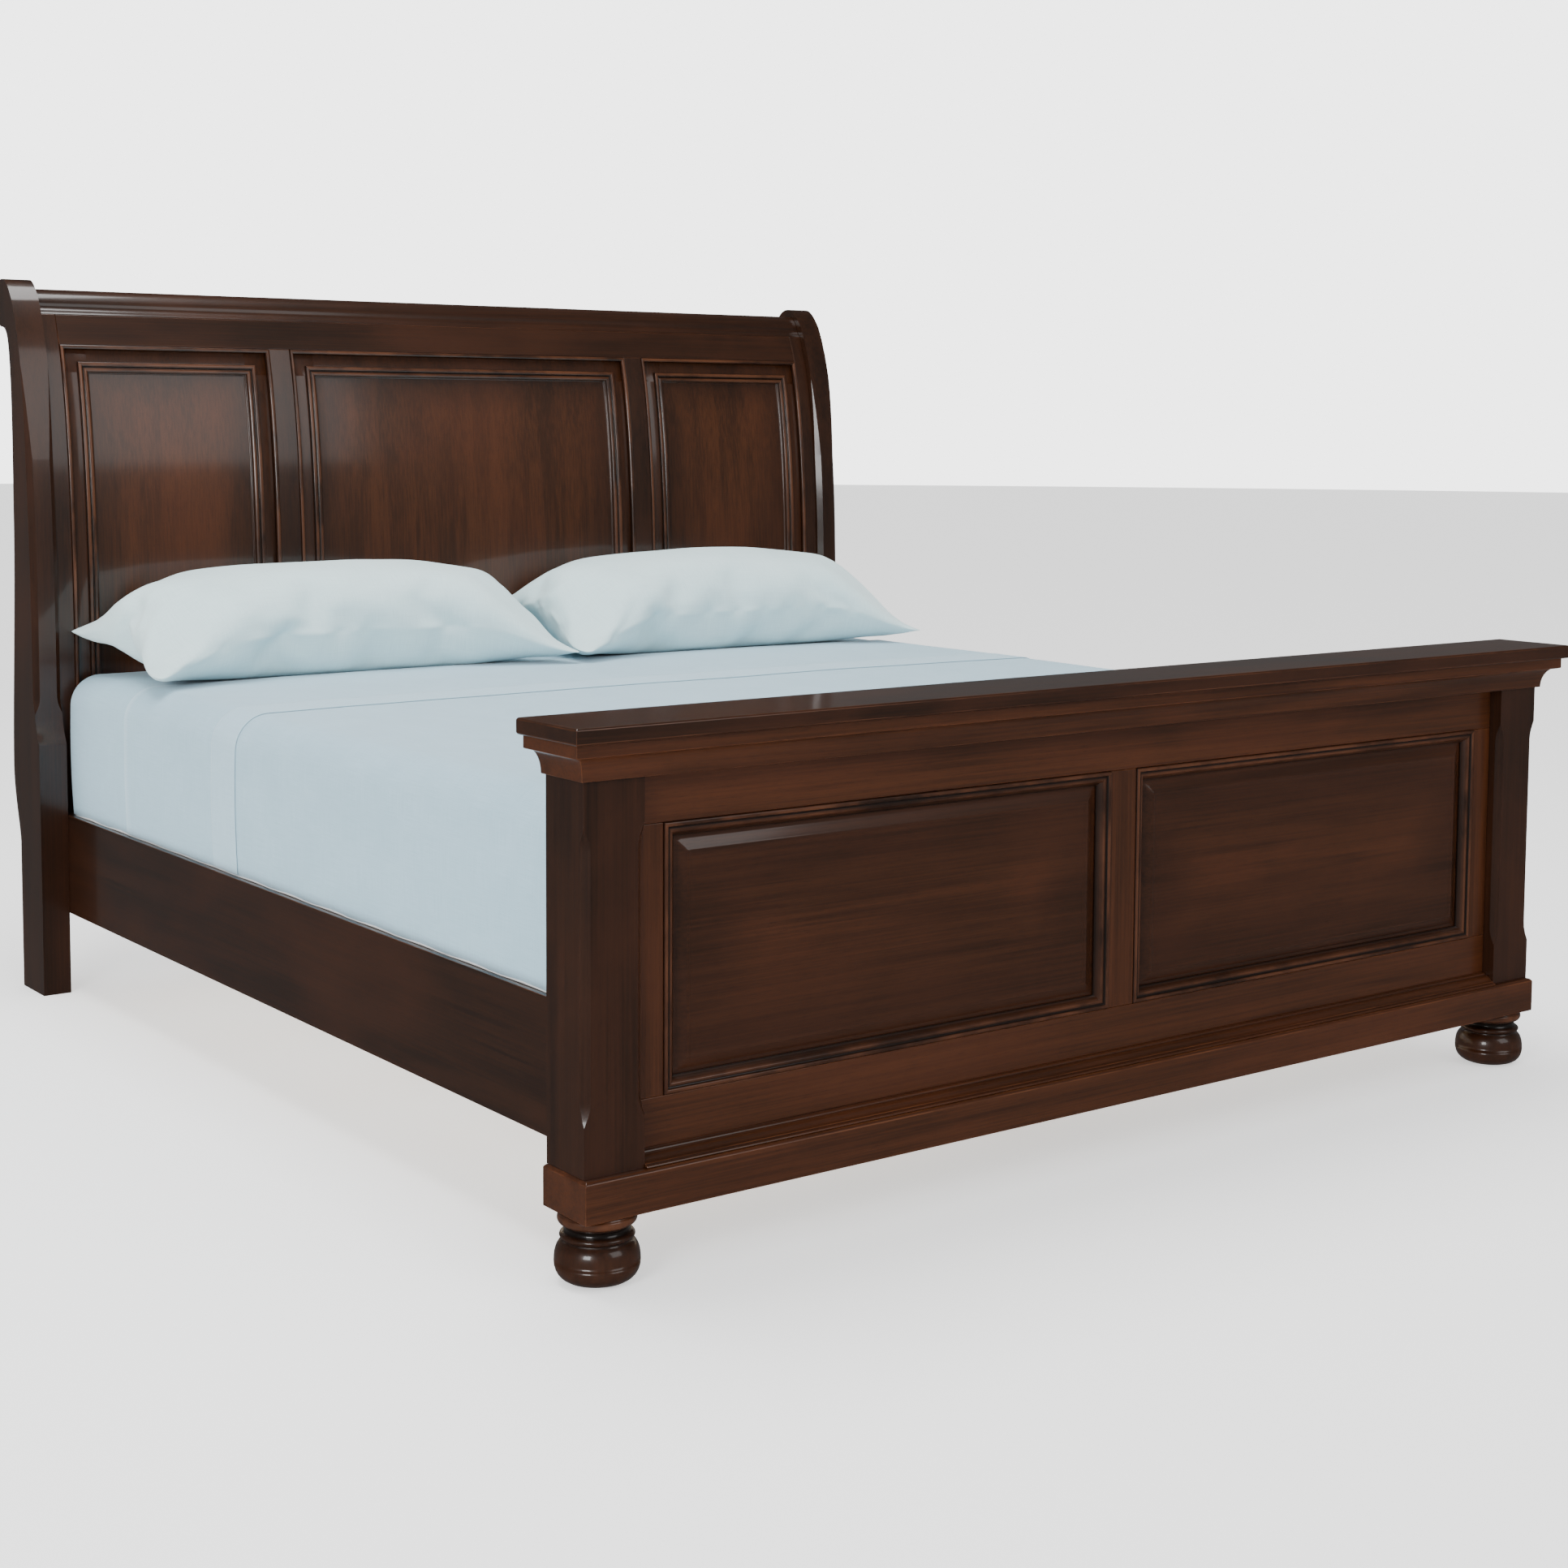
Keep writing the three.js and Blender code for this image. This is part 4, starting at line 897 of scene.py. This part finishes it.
def sideHeights(bottom):
    low, high = bottom, mattressHigh.z
    edge = high - bedding["corner"] * mm
    return spread(low, edge, 16 * mm)[:-1] + spread(edge, high, 8 * mm)


def acrossStops(low, high):
    near = bedding["corner"] * mm
    return spread(low, low + near, 8 * mm)[:-1] + spread(low + near, high - near, 24 * mm) \
        + spread(high - near, high, 8 * mm)[1:]


def dressedRow(y, bottom, lift):
    # one line of cloth from the left hem up, over the top and down to the right hem
    left, right = mattressSides["left"], mattressSides["right"]
    zs, xs = sideHeights(bottom), acrossStops(left, right)
    row = [dressedSurface(left, y, bottom, lift, bedding["tuck"] * mm)]
    row += [dressedSurface(left, y, z, lift) for z in zs]
    row += [dressedSurface(x, y, mattressHigh.z, lift) for x in xs[1:-1]]
    row += [dressedSurface(right, y, z, lift) for z in reversed(zs)]
    row.append(dressedSurface(right, y, bottom, lift, bedding["tuck"] * mm))
    return row


def alongRow(row, start):
    # distance along a row from its middle, for the weave
    far = [0.0]
    for a, b in zip(row, row[1:]):
        far.append(far[-1] + (b - a).length)
    return [(f - far[-1] / 2, start) for f in far]


def endPatch(bm, uv, y, bottom, lift, facing):
    # the cloth down one end of the mattress
    xs = acrossStops(mattressSides["left"], mattressSides["right"])
    zs = sideHeights(bottom)
    rows = [[dressedSurface(x, y, bottom, lift, bedding["tuck"] * mm) for x in xs]]
    rows += [[dressedSurface(x, y, z, lift) for x in xs] for z in zs]
    uvRows = [[(x, y + facing * (mattressHigh.z - max(p.z, bottom))) for x, p in zip(xs, row)]
              for row in rows]
    quadGrid(bm, rows, uvRows, uv, flip=facing > 0)


def endSheet(piece, thick):
    wall = piece.modifiers.new("cloth thickness", "SOLIDIFY")
    wall.thickness = thick
    wall.offset = 1
    wall.use_even_offset = False


def fittedSheet():
    bm = bmesh.new()
    uv = bm.loops.layers.uv.new("cloth")
    bottom = mattressLow.z + 1.5 * mm
    lift = bedding["fittedLift"] * mm
    ys = acrossStops(mattressLow.y, mattressHigh.y)
    rows = [dressedRow(y, bottom, lift) for y in ys]
    quadGrid(bm, rows, [alongRow(row, y) for row, y in zip(rows, ys)], uv)
    endPatch(bm, uv, mattressLow.y, bottom, lift, -1)
    endPatch(bm, uv, mattressHigh.y, bottom, lift, 1)
    bmesh.ops.remove_doubles(bm, verts=bm.verts, dist=0.02 * mm)
    piece = showPiece("fitted_sheet_cloth", newMesh(bm, "fitted sheet", True), sheetCotton, "bedding",
                      ["fitted_sheet"])
    endSheet(piece, bedding["clothThick"] * mm)


# hemTone: how far the band from the cuff edge to the stitches is painted towards the lighter hem colour
flatSheet = {
    "foldFromHead": 330, "turnDown": 531, "hem": 102, "hemRise": 0.9, "foldSteps": 6, "flat": (2.74, 2.59),
    "hemTone": 0.4, "stitchGap": 3.6, "stitchLong": 2.4, "stitchWide": 0.55,
}
foldY = mattressHigh.y - flatSheet["foldFromHead"] * mm
cuffY = foldY - flatSheet["turnDown"] * mm
stitchY = cuffY + flatSheet["hem"] * mm


def cuffLift(y):
    # the turned-down part thickens by one cloth where its hem is doubled
    rise = 0
    if y < stitchY + 2 * mm:
        rise = flatSheet["hemRise"] * mm * smoothstep(stitchY + mm, stitchY - 1.5 * mm, y)
    relax = 0.66 * mm * smoothstep(cuffY, foldY, y)
    return (bedding["cuffLift"] - bedding["clothThick"]) * mm + rise + relax


def flatSheetCloth():
    bm = bmesh.new()
    uv = bm.loops.layers.uv.new("cloth")
    hem = bm.verts.layers.float.new("hem")
    bottom = mattressLow.z + 3.5 * mm
    low, high = bedding["flatLift"] * mm, cuffLift(foldY)
    rows, along = [], []
    for y in acrossStops(mattressLow.y, foldY + bedding["corner"] * mm):
        if y < foldY - mm:
            rows.append(dressedRow(y, bottom, low))
            along.append(y)
    turn = (high - low) / 2
    for i in range(flatSheet["foldSteps"] + 1):
        angle = math.pi * i / flatSheet["foldSteps"]
        rows.append(dressedRow(foldY + turn * math.sin(angle), bottom, low + turn * (1 - math.cos(angle))))
        along.append(foldY + turn * angle)
    backY = list(reversed(spread(stitchY + 3 * mm, foldY, 24 * mm)))[1:]
    backY += [stitchY + 1.2 * mm, stitchY - 0.2 * mm, stitchY - 1.6 * mm]
    backY += list(reversed(spread(cuffY + 3 * mm, stitchY - 3 * mm, 14 * mm))) + [cuffY]
    for y in backY:
        rows.append(dressedRow(y, bottom, cuffLift(y)))
        along.append(2 * foldY - y)
    edge = [p - Vector((0, 0.2 * mm, 0)) for p in dressedRow(cuffY, bottom, cuffLift(cuffY) - 1.6 * mm)]
    rows.append(edge)
    along.append(2 * foldY - cuffY + 2 * mm)
    verts = quadGrid(bm, rows, [alongRow(row, a) for row, a in zip(rows, along)], uv)
    # the fold rows and the lines at the cuff edge and the stitches get the lighter hem colour as a painted
    # highlight; the band between is painted partly lighter
    firstCuff = len(rows) - len(backY) - 1
    for row in verts[firstCuff - flatSheet["foldSteps"]:firstCuff]:
        for v in row:
            v[hem] = 1.0
    for row, y in zip(verts[firstCuff:], backY + [cuffY]):
        atLine = y < cuffY + mm or stitchY - 2 * mm < y < stitchY
        for v in row:
            v[hem] = 1.0 if atLine else flatSheet["hemTone"] if y < stitchY else 0.0
    endPatch(bm, uv, mattressLow.y, bottom, low, -1)
    bmesh.ops.remove_doubles(bm, verts=bm.verts, dist=0.02 * mm)
    piece = showPiece("flat_sheet_cloth", newMesh(bm, "flat sheet"), sheetCotton, "bedding",
                      ["flat_sheet"])
    endSheet(piece, bedding["clothThick"] * mm)


def stitchShape():
    # a short thread that dips into the cloth at both ends
    bm = bmesh.new()
    uv = bm.loops.layers.uv.new("cloth")
    half, wide = flatSheet["stitchLong"] * mm / 2, flatSheet["stitchWide"] * mm / 2
    rings = []
    turns = [2 * math.pi * k / 6 for k in range(6)]
    for share, height in ((-1, -0.25), (-0.55, 0.22), (0, 0.34), (0.55, 0.22), (1, -0.25)):
        size = wide * (0.55 if abs(share) == 1 else 1.0)
        rings.append([bm.verts.new((share * half, size * math.cos(a), size * math.sin(a) + height * mm))
                      for a in turns])
    for low, high in zip(rings, rings[1:]):
        for k in range(6):
            bm.faces.new((low[k], low[(k + 1) % 6], high[(k + 1) % 6], high[k])).smooth = True
    bm.faces.new(list(reversed(rings[0])))
    bm.faces.new(rings[-1])
    bmesh.ops.recalc_face_normals(bm, faces=bm.faces)
    for face in bm.faces:
        for loop in face.loops:
            loop[uv].uv = (loop.vert.co.x, loop.vert.co.y + loop.vert.co.z)
    return newMesh(bm, "stitch")


def stitchRun(line, gap):
    points, carry = [], gap / 2
    for a, b in zip(line, line[1:]):
        long = (b - a).length
        while carry < long:
            points.append((tuple(a.lerp(b, carry / long)), tuple((b - a).normalized())))
            carry += gap
        carry -= long
    return points


thread = clothMaterial("sewing thread", {**sheetLook, "low": rgb(206, 220, 226), "high": rgb(226, 236, 240)})
hemLine = dressedRow(stitchY - 2.6 * mm, mattressLow.z + 6 * mm, cuffLift(stitchY - 2.6 * mm)
                     + bedding["clothThick"] * mm)[2:-2]
hemStitches = setDown("cuff_stitches", stitchRun(hemLine, flatSheet["stitchGap"] * mm), stitchShape(), "X",
                      thread, "bedding")
fittedSheet()
flatSheetCloth()
print("sheets done")


def upholsteredSlab(name, node, corner, bulge, material, body, tufts=None, shell=None):
    low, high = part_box(node)
    r = corner * mm
    bm = bmesh.new()
    uv = bm.loops.layers.uv.new("cloth")
    hem = bm.verts.layers.float.new("hem")

    def stops(a, b, step):
        return spread(a, a + r, r / 4)[:-1] + spread(a + r, b - r, step) + spread(b - r, b, r / 4)[1:]

    def place(x, y, z):
        if shell and z > low.z + 0.1 * mm:
            return shell(x, y, z)
        edge = 9 * mm
        core = Vector((min(max(x, low.x + r), high.x - r), min(max(y, low.y + r), high.y - r), z))
        out = Vector((x, y, z)) - core
        wall = out.length > 1e-6
        normal = out.normalized() if wall else Vector((0, 0, 1 if z > (low.z + high.z) / 2 else -1))
        p = core + (normal * r if wall else Vector((0, 0, 0)))
        side = min(x - low.x, high.x - x, y - low.y, high.y - y)
        up = min(z - low.z, high.z - z)
        if side < 1e-6:
            ease = max(0.0, 1 - up / edge)
            share = math.sin(math.pi * min(max((z - low.z) / (high.z - low.z), 0), 1))
            rounding = edge * (1 - math.sqrt(max(0.0, 1 - ease ** 2)))
            p = p - normal * (rounding + bulge * mm * (1 - share))
        else:
            dip = 0.0
            if tufts:
                wave = math.cos(2 * math.pi * x / tufts) * math.cos(2 * math.pi * y / tufts)
                dip = 2.2 * mm * (1 - wave) * smoothstep(0, 0.05, side)
            p = p - Vector((0, 0, math.copysign(dip, z - (low.z + high.z) / 2)))
        return p

    xs, ys = stops(low.x, high.x, 34 * mm), stops(low.y, high.y, 34 * mm)
    zs = spread(low.z, low.z + 9 * mm, 3 * mm)[:-1] + spread(low.z + 9 * mm, high.z - 9 * mm, 24 * mm) \
        + spread(high.z - 9 * mm, high.z, 3 * mm)[1:]
    faces = [(ys, xs, lambda y, x, z=z: (x, y, z)) for z in (low.z, high.z)]
    faces += [(zs, xs, lambda z, x, y=y: (x, y, z)) for y in (low.y, high.y)]
    faces += [(zs, ys, lambda z, y, x=x: (x, y, z)) for x in (low.x, high.x)]
    for across, along, at in faces:
        quadGrid(bm, [[place(*at(a, b)) for b in along] for a in across],
                 [[(b, a) for b in along] for a in across], uv)
    bmesh.ops.remove_doubles(bm, verts=bm.verts, dist=0.05 * mm)
    bmesh.ops.recalc_face_normals(bm, faces=bm.faces)
    for v in bm.verts:
        v[hem] = 1.0 if min(v.co.z - low.z, high.z - v.co.z) < 8 * mm and (
            min(v.co.x - low.x, high.x - v.co.x, v.co.y - low.y, high.y - v.co.y) < 12 * mm) else 0.0
    piece = showPiece(name, newMesh(bm, name), material, body, [node])


upholsteredSlab("foundation_box", "foundation", 30, 1.0, ticking, "foundation")
upholsteredSlab("mattress_pad", "mattress", 48, 0.0, ticking, "bedding", 0.16,
                lambda x, y, z: dressedSurface(x, y, z, -1.5 * mm))
print("mattress done")

# two layers sewn round their edge, blown up as cloth, then laid down
pillowMake = {
    "cut": (1.03, 0.60), "cell": 12.5, "cornerCut": 16, "frames": 26, "startThick": 26,
    "cloth": {"quality": 7, "mass": 0.25, "tension_stiffness": 18, "compression_stiffness": 18,
              "shear_stiffness": 8, "bending_stiffness": 0.35, "air_damping": 2.5, "use_pressure": True,
              "uniform_pressure_force": 5.0},
    "gathers": 4.0, "fineGathers": 1.6, "hollows": 2.5,
    "long": 0.975, "deep": 0.50, "high": 0.232, "tilt": 9, "settle": 0.40, "evened": 7,
    "frontDroop": 0.6, "backDroop": 0.42, "earsFrom": 0.84, "earsKept": 0.5,
}


def pillowCut(name):
    # the two layers meet in a sewn edge; the flat cut's own size is kept for the weave
    wide, deep = pillowMake["cut"]
    bm = bmesh.new()
    uv = bm.loops.layers.uv.new("cloth")
    cell = pillowMake["cell"] * mm
    xs, ys = spread(-wide / 2, wide / 2, cell), spread(-deep / 2, deep / 2, cell)
    corner = pillowMake["cornerCut"] * mm
    for layer in (-1, 1):
        rows = []
        for y in ys:
            row = []
            for x in xs:
                edge = min(wide / 2 - abs(x), deep / 2 - abs(y))
                nearCorner = max(0.0, corner * 2 - (wide / 2 - abs(x)) - (deep / 2 - abs(y))) / 2
                px, py = x - math.copysign(nearCorner * 0.6, x), y - math.copysign(nearCorner * 0.6, y)
                rise = pillowMake["startThick"] * mm / 2 * smoothstep(0, 0.05, edge)
                rough = noise.noise(Vector((x * 14, y * 14, layer * 3.7 + len(name)))) * 1.2 * mm
                row.append(Vector((px, py, layer * (rise + (abs(rough) if edge > 1e-4 else 0)))))
            rows.append(row)
        quadGrid(bm, rows, [[(x, y) for x in xs] for y in ys], uv, flip=layer < 0)
    bmesh.ops.remove_doubles(bm, verts=bm.verts, dist=0.01 * mm)
    return newMesh(bm, name, True)


def blowUp(mesh):
    bag = bpy.data.objects.new("pillow bag", mesh)
    scene.collection.objects.link(bag)
    cloth = bag.modifiers.new("blow up", "CLOTH")
    for name, value in pillowMake["cloth"].items():
        setattr(cloth.settings, name, value)
    cloth.settings.effector_weights.gravity = 0
    cloth.collision_settings.use_collision = False
    cloth.point_cache.frame_start, cloth.point_cache.frame_end = 1, pillowMake["frames"]
    for number in range(1, pillowMake["frames"] + 1):
        scene.frame_set(number)
    made = bpy.data.meshes.new_from_object(bag.evaluated_get(bpy.context.evaluated_depsgraph_get()))
    bpy.data.objects.remove(bag)
    scene.frame_set(1)
    return made


def smoothed(points, mesh, rim, rounds):
    # evens out the small buckles of the blown-up cloth, all but its sewn edge
    near = [[] for _ in points]
    for a, b in mesh.edge_keys:
        near[a].append(b)
        near[b].append(a)
    for _ in range(rounds):
        points = [p if fixed or not ring
                  else p.lerp(sum((points[n] for n in ring), Vector()) / len(ring), 0.5)
                  for p, ring, fixed in zip(points, near, rim)]
    return points


def layPillow(node, side, seed):
    low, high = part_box(node)
    floor = low.z + 0.5 * mm
    middle = (low + high) / 2
    mesh = pillowCut(node)
    rim = [abs(v.co.z) < 0.1 * mm for v in mesh.vertices]
    mesh = blowUp(mesh)
    points = smoothed([v.co.copy() for v in mesh.vertices], mesh, rim, pillowMake["evened"])
    spanLow = Vector([min(p[k] for p in points) for k in range(3)])
    spanHigh = Vector([max(p[k] for p in points) for k in range(3)])
    span = spanHigh - spanLow
    sizes = (pillowMake["long"], pillowMake["deep"], pillowMake["high"])
    tilt = Matrix.Rotation(math.radians(pillowMake["tilt"]), 3, "X")
    centre = (spanLow + spanHigh) / 2
    print(node, "blown up to", [round(s, 3) for s in span])
    laid = []
    for p in points:
        q = p - centre
        q = Vector((q.x * sizes[0] / span.x, q.y * sizes[1] / span.y, q.z * sizes[2] / max(span.z, 0.02)))
        # the pointed corners are drawn in, which leaves the body longer
        ends = abs(q.x) / (sizes[0] / 2)
        begin, kept = pillowMake["earsFrom"], pillowMake["earsKept"]
        ends = (ends if ends < begin else begin + (ends - begin) * kept) / (begin + (1 - begin) * kept)
        q.x = math.copysign(ends * sizes[0] / 2, q.x)
        gathers = noise.noise(Vector((q.x * 6 + seed, q.y * 38, seed))) * pillowMake["gathers"] * mm
        gathers += noise.noise(Vector((q.x * 9, q.y * 80 + seed, q.z * 8))) * pillowMake["fineGathers"] * mm
        q.z += gathers * smoothstep(0.66, 0.93, ends) * math.copysign(1, q.z) * smoothstep(0, 0.02, abs(q.z))
        hollows = noise.noise(Vector((q.x * 3 + seed, q.y * 4, seed * 2))) * pillowMake["hollows"] * mm
        q.z += hollows * smoothstep(0, 0.03, abs(q.z))
        laid.append(tilt @ q)
    bottom = min(q.z for q in laid)
    settle = pillowMake["settle"] * sizes[2]
    for v, q in zip(mesh.vertices, laid):
        height = q.z - bottom
        # the underside spreads flat on the sheet, and the corners droop to it
        height = height * smoothstep(0.0, settle, height) ** 0.8 if height < settle else height
        atEnd = smoothstep(0.55, 1.0, abs(q.x) / (sizes[0] / 2))
        droop = pillowMake["frontDroop"] * smoothstep(0.0, 0.2, -q.y)
        droop += pillowMake["backDroop"] * smoothstep(0.0, 0.2, q.y)
        height *= 1 - droop * atEnd
        v.co = Vector((middle.x + q.x, middle.y + q.y, floor + height * 0.985))
    for face in mesh.polygons:
        face.use_smooth = True
    piece = showPiece(node + "_case", mesh, pillowCotton, "pillow_" + side, [node])
    rounder = piece.modifiers.new("soften", "SUBSURF")
    rounder.levels = rounder.render_levels = 1


layPillow("pillow_left", "left", 1.3)
layPillow("pillow_right", "right", 6.1)
print("pillows done")


studio = {
    # how bright the surroundings are to the eye, in gloss, and as light on the bed
    "seen": 3.8, "glossLow": 0.12, "glossHigh": 0.06, "light": 1.05, "floorGlow": 0.75, "floorReach": 40,
    # name, place, aimed at, size, power
    "lights": [("key", (-5.2, -3.4, 2.4), (-0.4, -0.1, 0.5), 1.7, 150),
               ("top", (-0.8, 0.2, 4.6), (0, 0.1, 0.5), 2.4, 190),
               ("front", (1.6, -6.0, 3.8), (0.2, -0.8, 0.4), 3.4, 80)],
}


def paleFloor():
    bm = bmesh.new()
    bmesh.ops.create_circle(bm, cap_ends=True, segments=96, radius=studio["floorReach"])
    floor = bpy.data.objects.new("studio_floor", newMesh(bm, "studio floor"))
    pale, t, shader = newMaterial("pale floor")
    t.setInputs(shader, Base_Color=(0.9, 0.9, 0.9, 1), Roughness=0.9, Emission_Color=(1, 1, 1, 1),
                Emission_Strength=studio["floorGlow"])
    floor.data.materials.append(pale)
    floor.visible_glossy = False
    scene.collection.objects.link(floor)


def aimed(place, target):
    return (Vector(target) - Vector(place)).to_track_quat("-Z", "Y").to_euler()


def studioLights():
    world = bpy.data.worlds.new("soft studio")
    world.use_nodes = True
    t = Tree(world.node_tree)
    sky = world.node_tree.nodes["Background"]
    sky.inputs["Color"].default_value = (1, 1, 1, 1)
    height = t.add("ShaderNodeSeparateXYZ")
    t.link(t.add("ShaderNodeTexCoord").outputs["Generated"], height.inputs[0])
    gloss = t.ramp(height.outputs["Z"], 0.0, 0.6, studio["glossLow"], studio["glossHigh"])
    ray = t.add("ShaderNodeLightPath")
    strength = t.add("ShaderNodeMix", data_type="FLOAT")
    strength.inputs[2].default_value = studio["light"]
    t.link(ray.outputs["Is Glossy Ray"], strength.inputs[0])
    t.link(gloss, strength.inputs[3])
    seen = t.add("ShaderNodeMix", data_type="FLOAT")
    seen.inputs[3].default_value = studio["seen"]
    t.link(ray.outputs["Is Camera Ray"], seen.inputs[0])
    t.link(strength.outputs[0], seen.inputs[2])
    t.link(seen.outputs[0], sky.inputs["Strength"])
    scene.world = world
    for name, place, target, size, power in studio["lights"]:
        lamp = bpy.data.lights.new(name, "AREA")
        lamp.size = size
        lamp.energy = power
        light = bpy.data.objects.new(name, lamp)
        light.location = place
        light.rotation_euler = aimed(place, target)
        scene.collection.objects.link(light)


view = {"place": (-2.7658, -3.9141, 1.2136), "turn": 36.611, "down": 4.711, "roll": 0.323, "lens": 55.09,
        "shift": -0.10663}


def viewCamera():
    data = bpy.data.cameras.new("bed view")
    data.sensor_width = 36
    data.lens = view["lens"]
    data.shift_y = view["shift"]
    camera = bpy.data.objects.new("bed view", data)
    turned = Matrix.Rotation(math.radians(-view["turn"]), 3, "Z")
    tipped = Matrix.Rotation(math.radians(90 - view["down"]), 3, "X")
    rolled = Matrix.Rotation(math.radians(view["roll"]), 3, "Z")
    camera.rotation_euler = (turned @ tipped @ rolled).to_euler()
    camera.location = view["place"]
    scene.collection.objects.link(camera)
    scene.camera = camera


paleFloor()
studioLights()
viewCamera()
print("stage done")
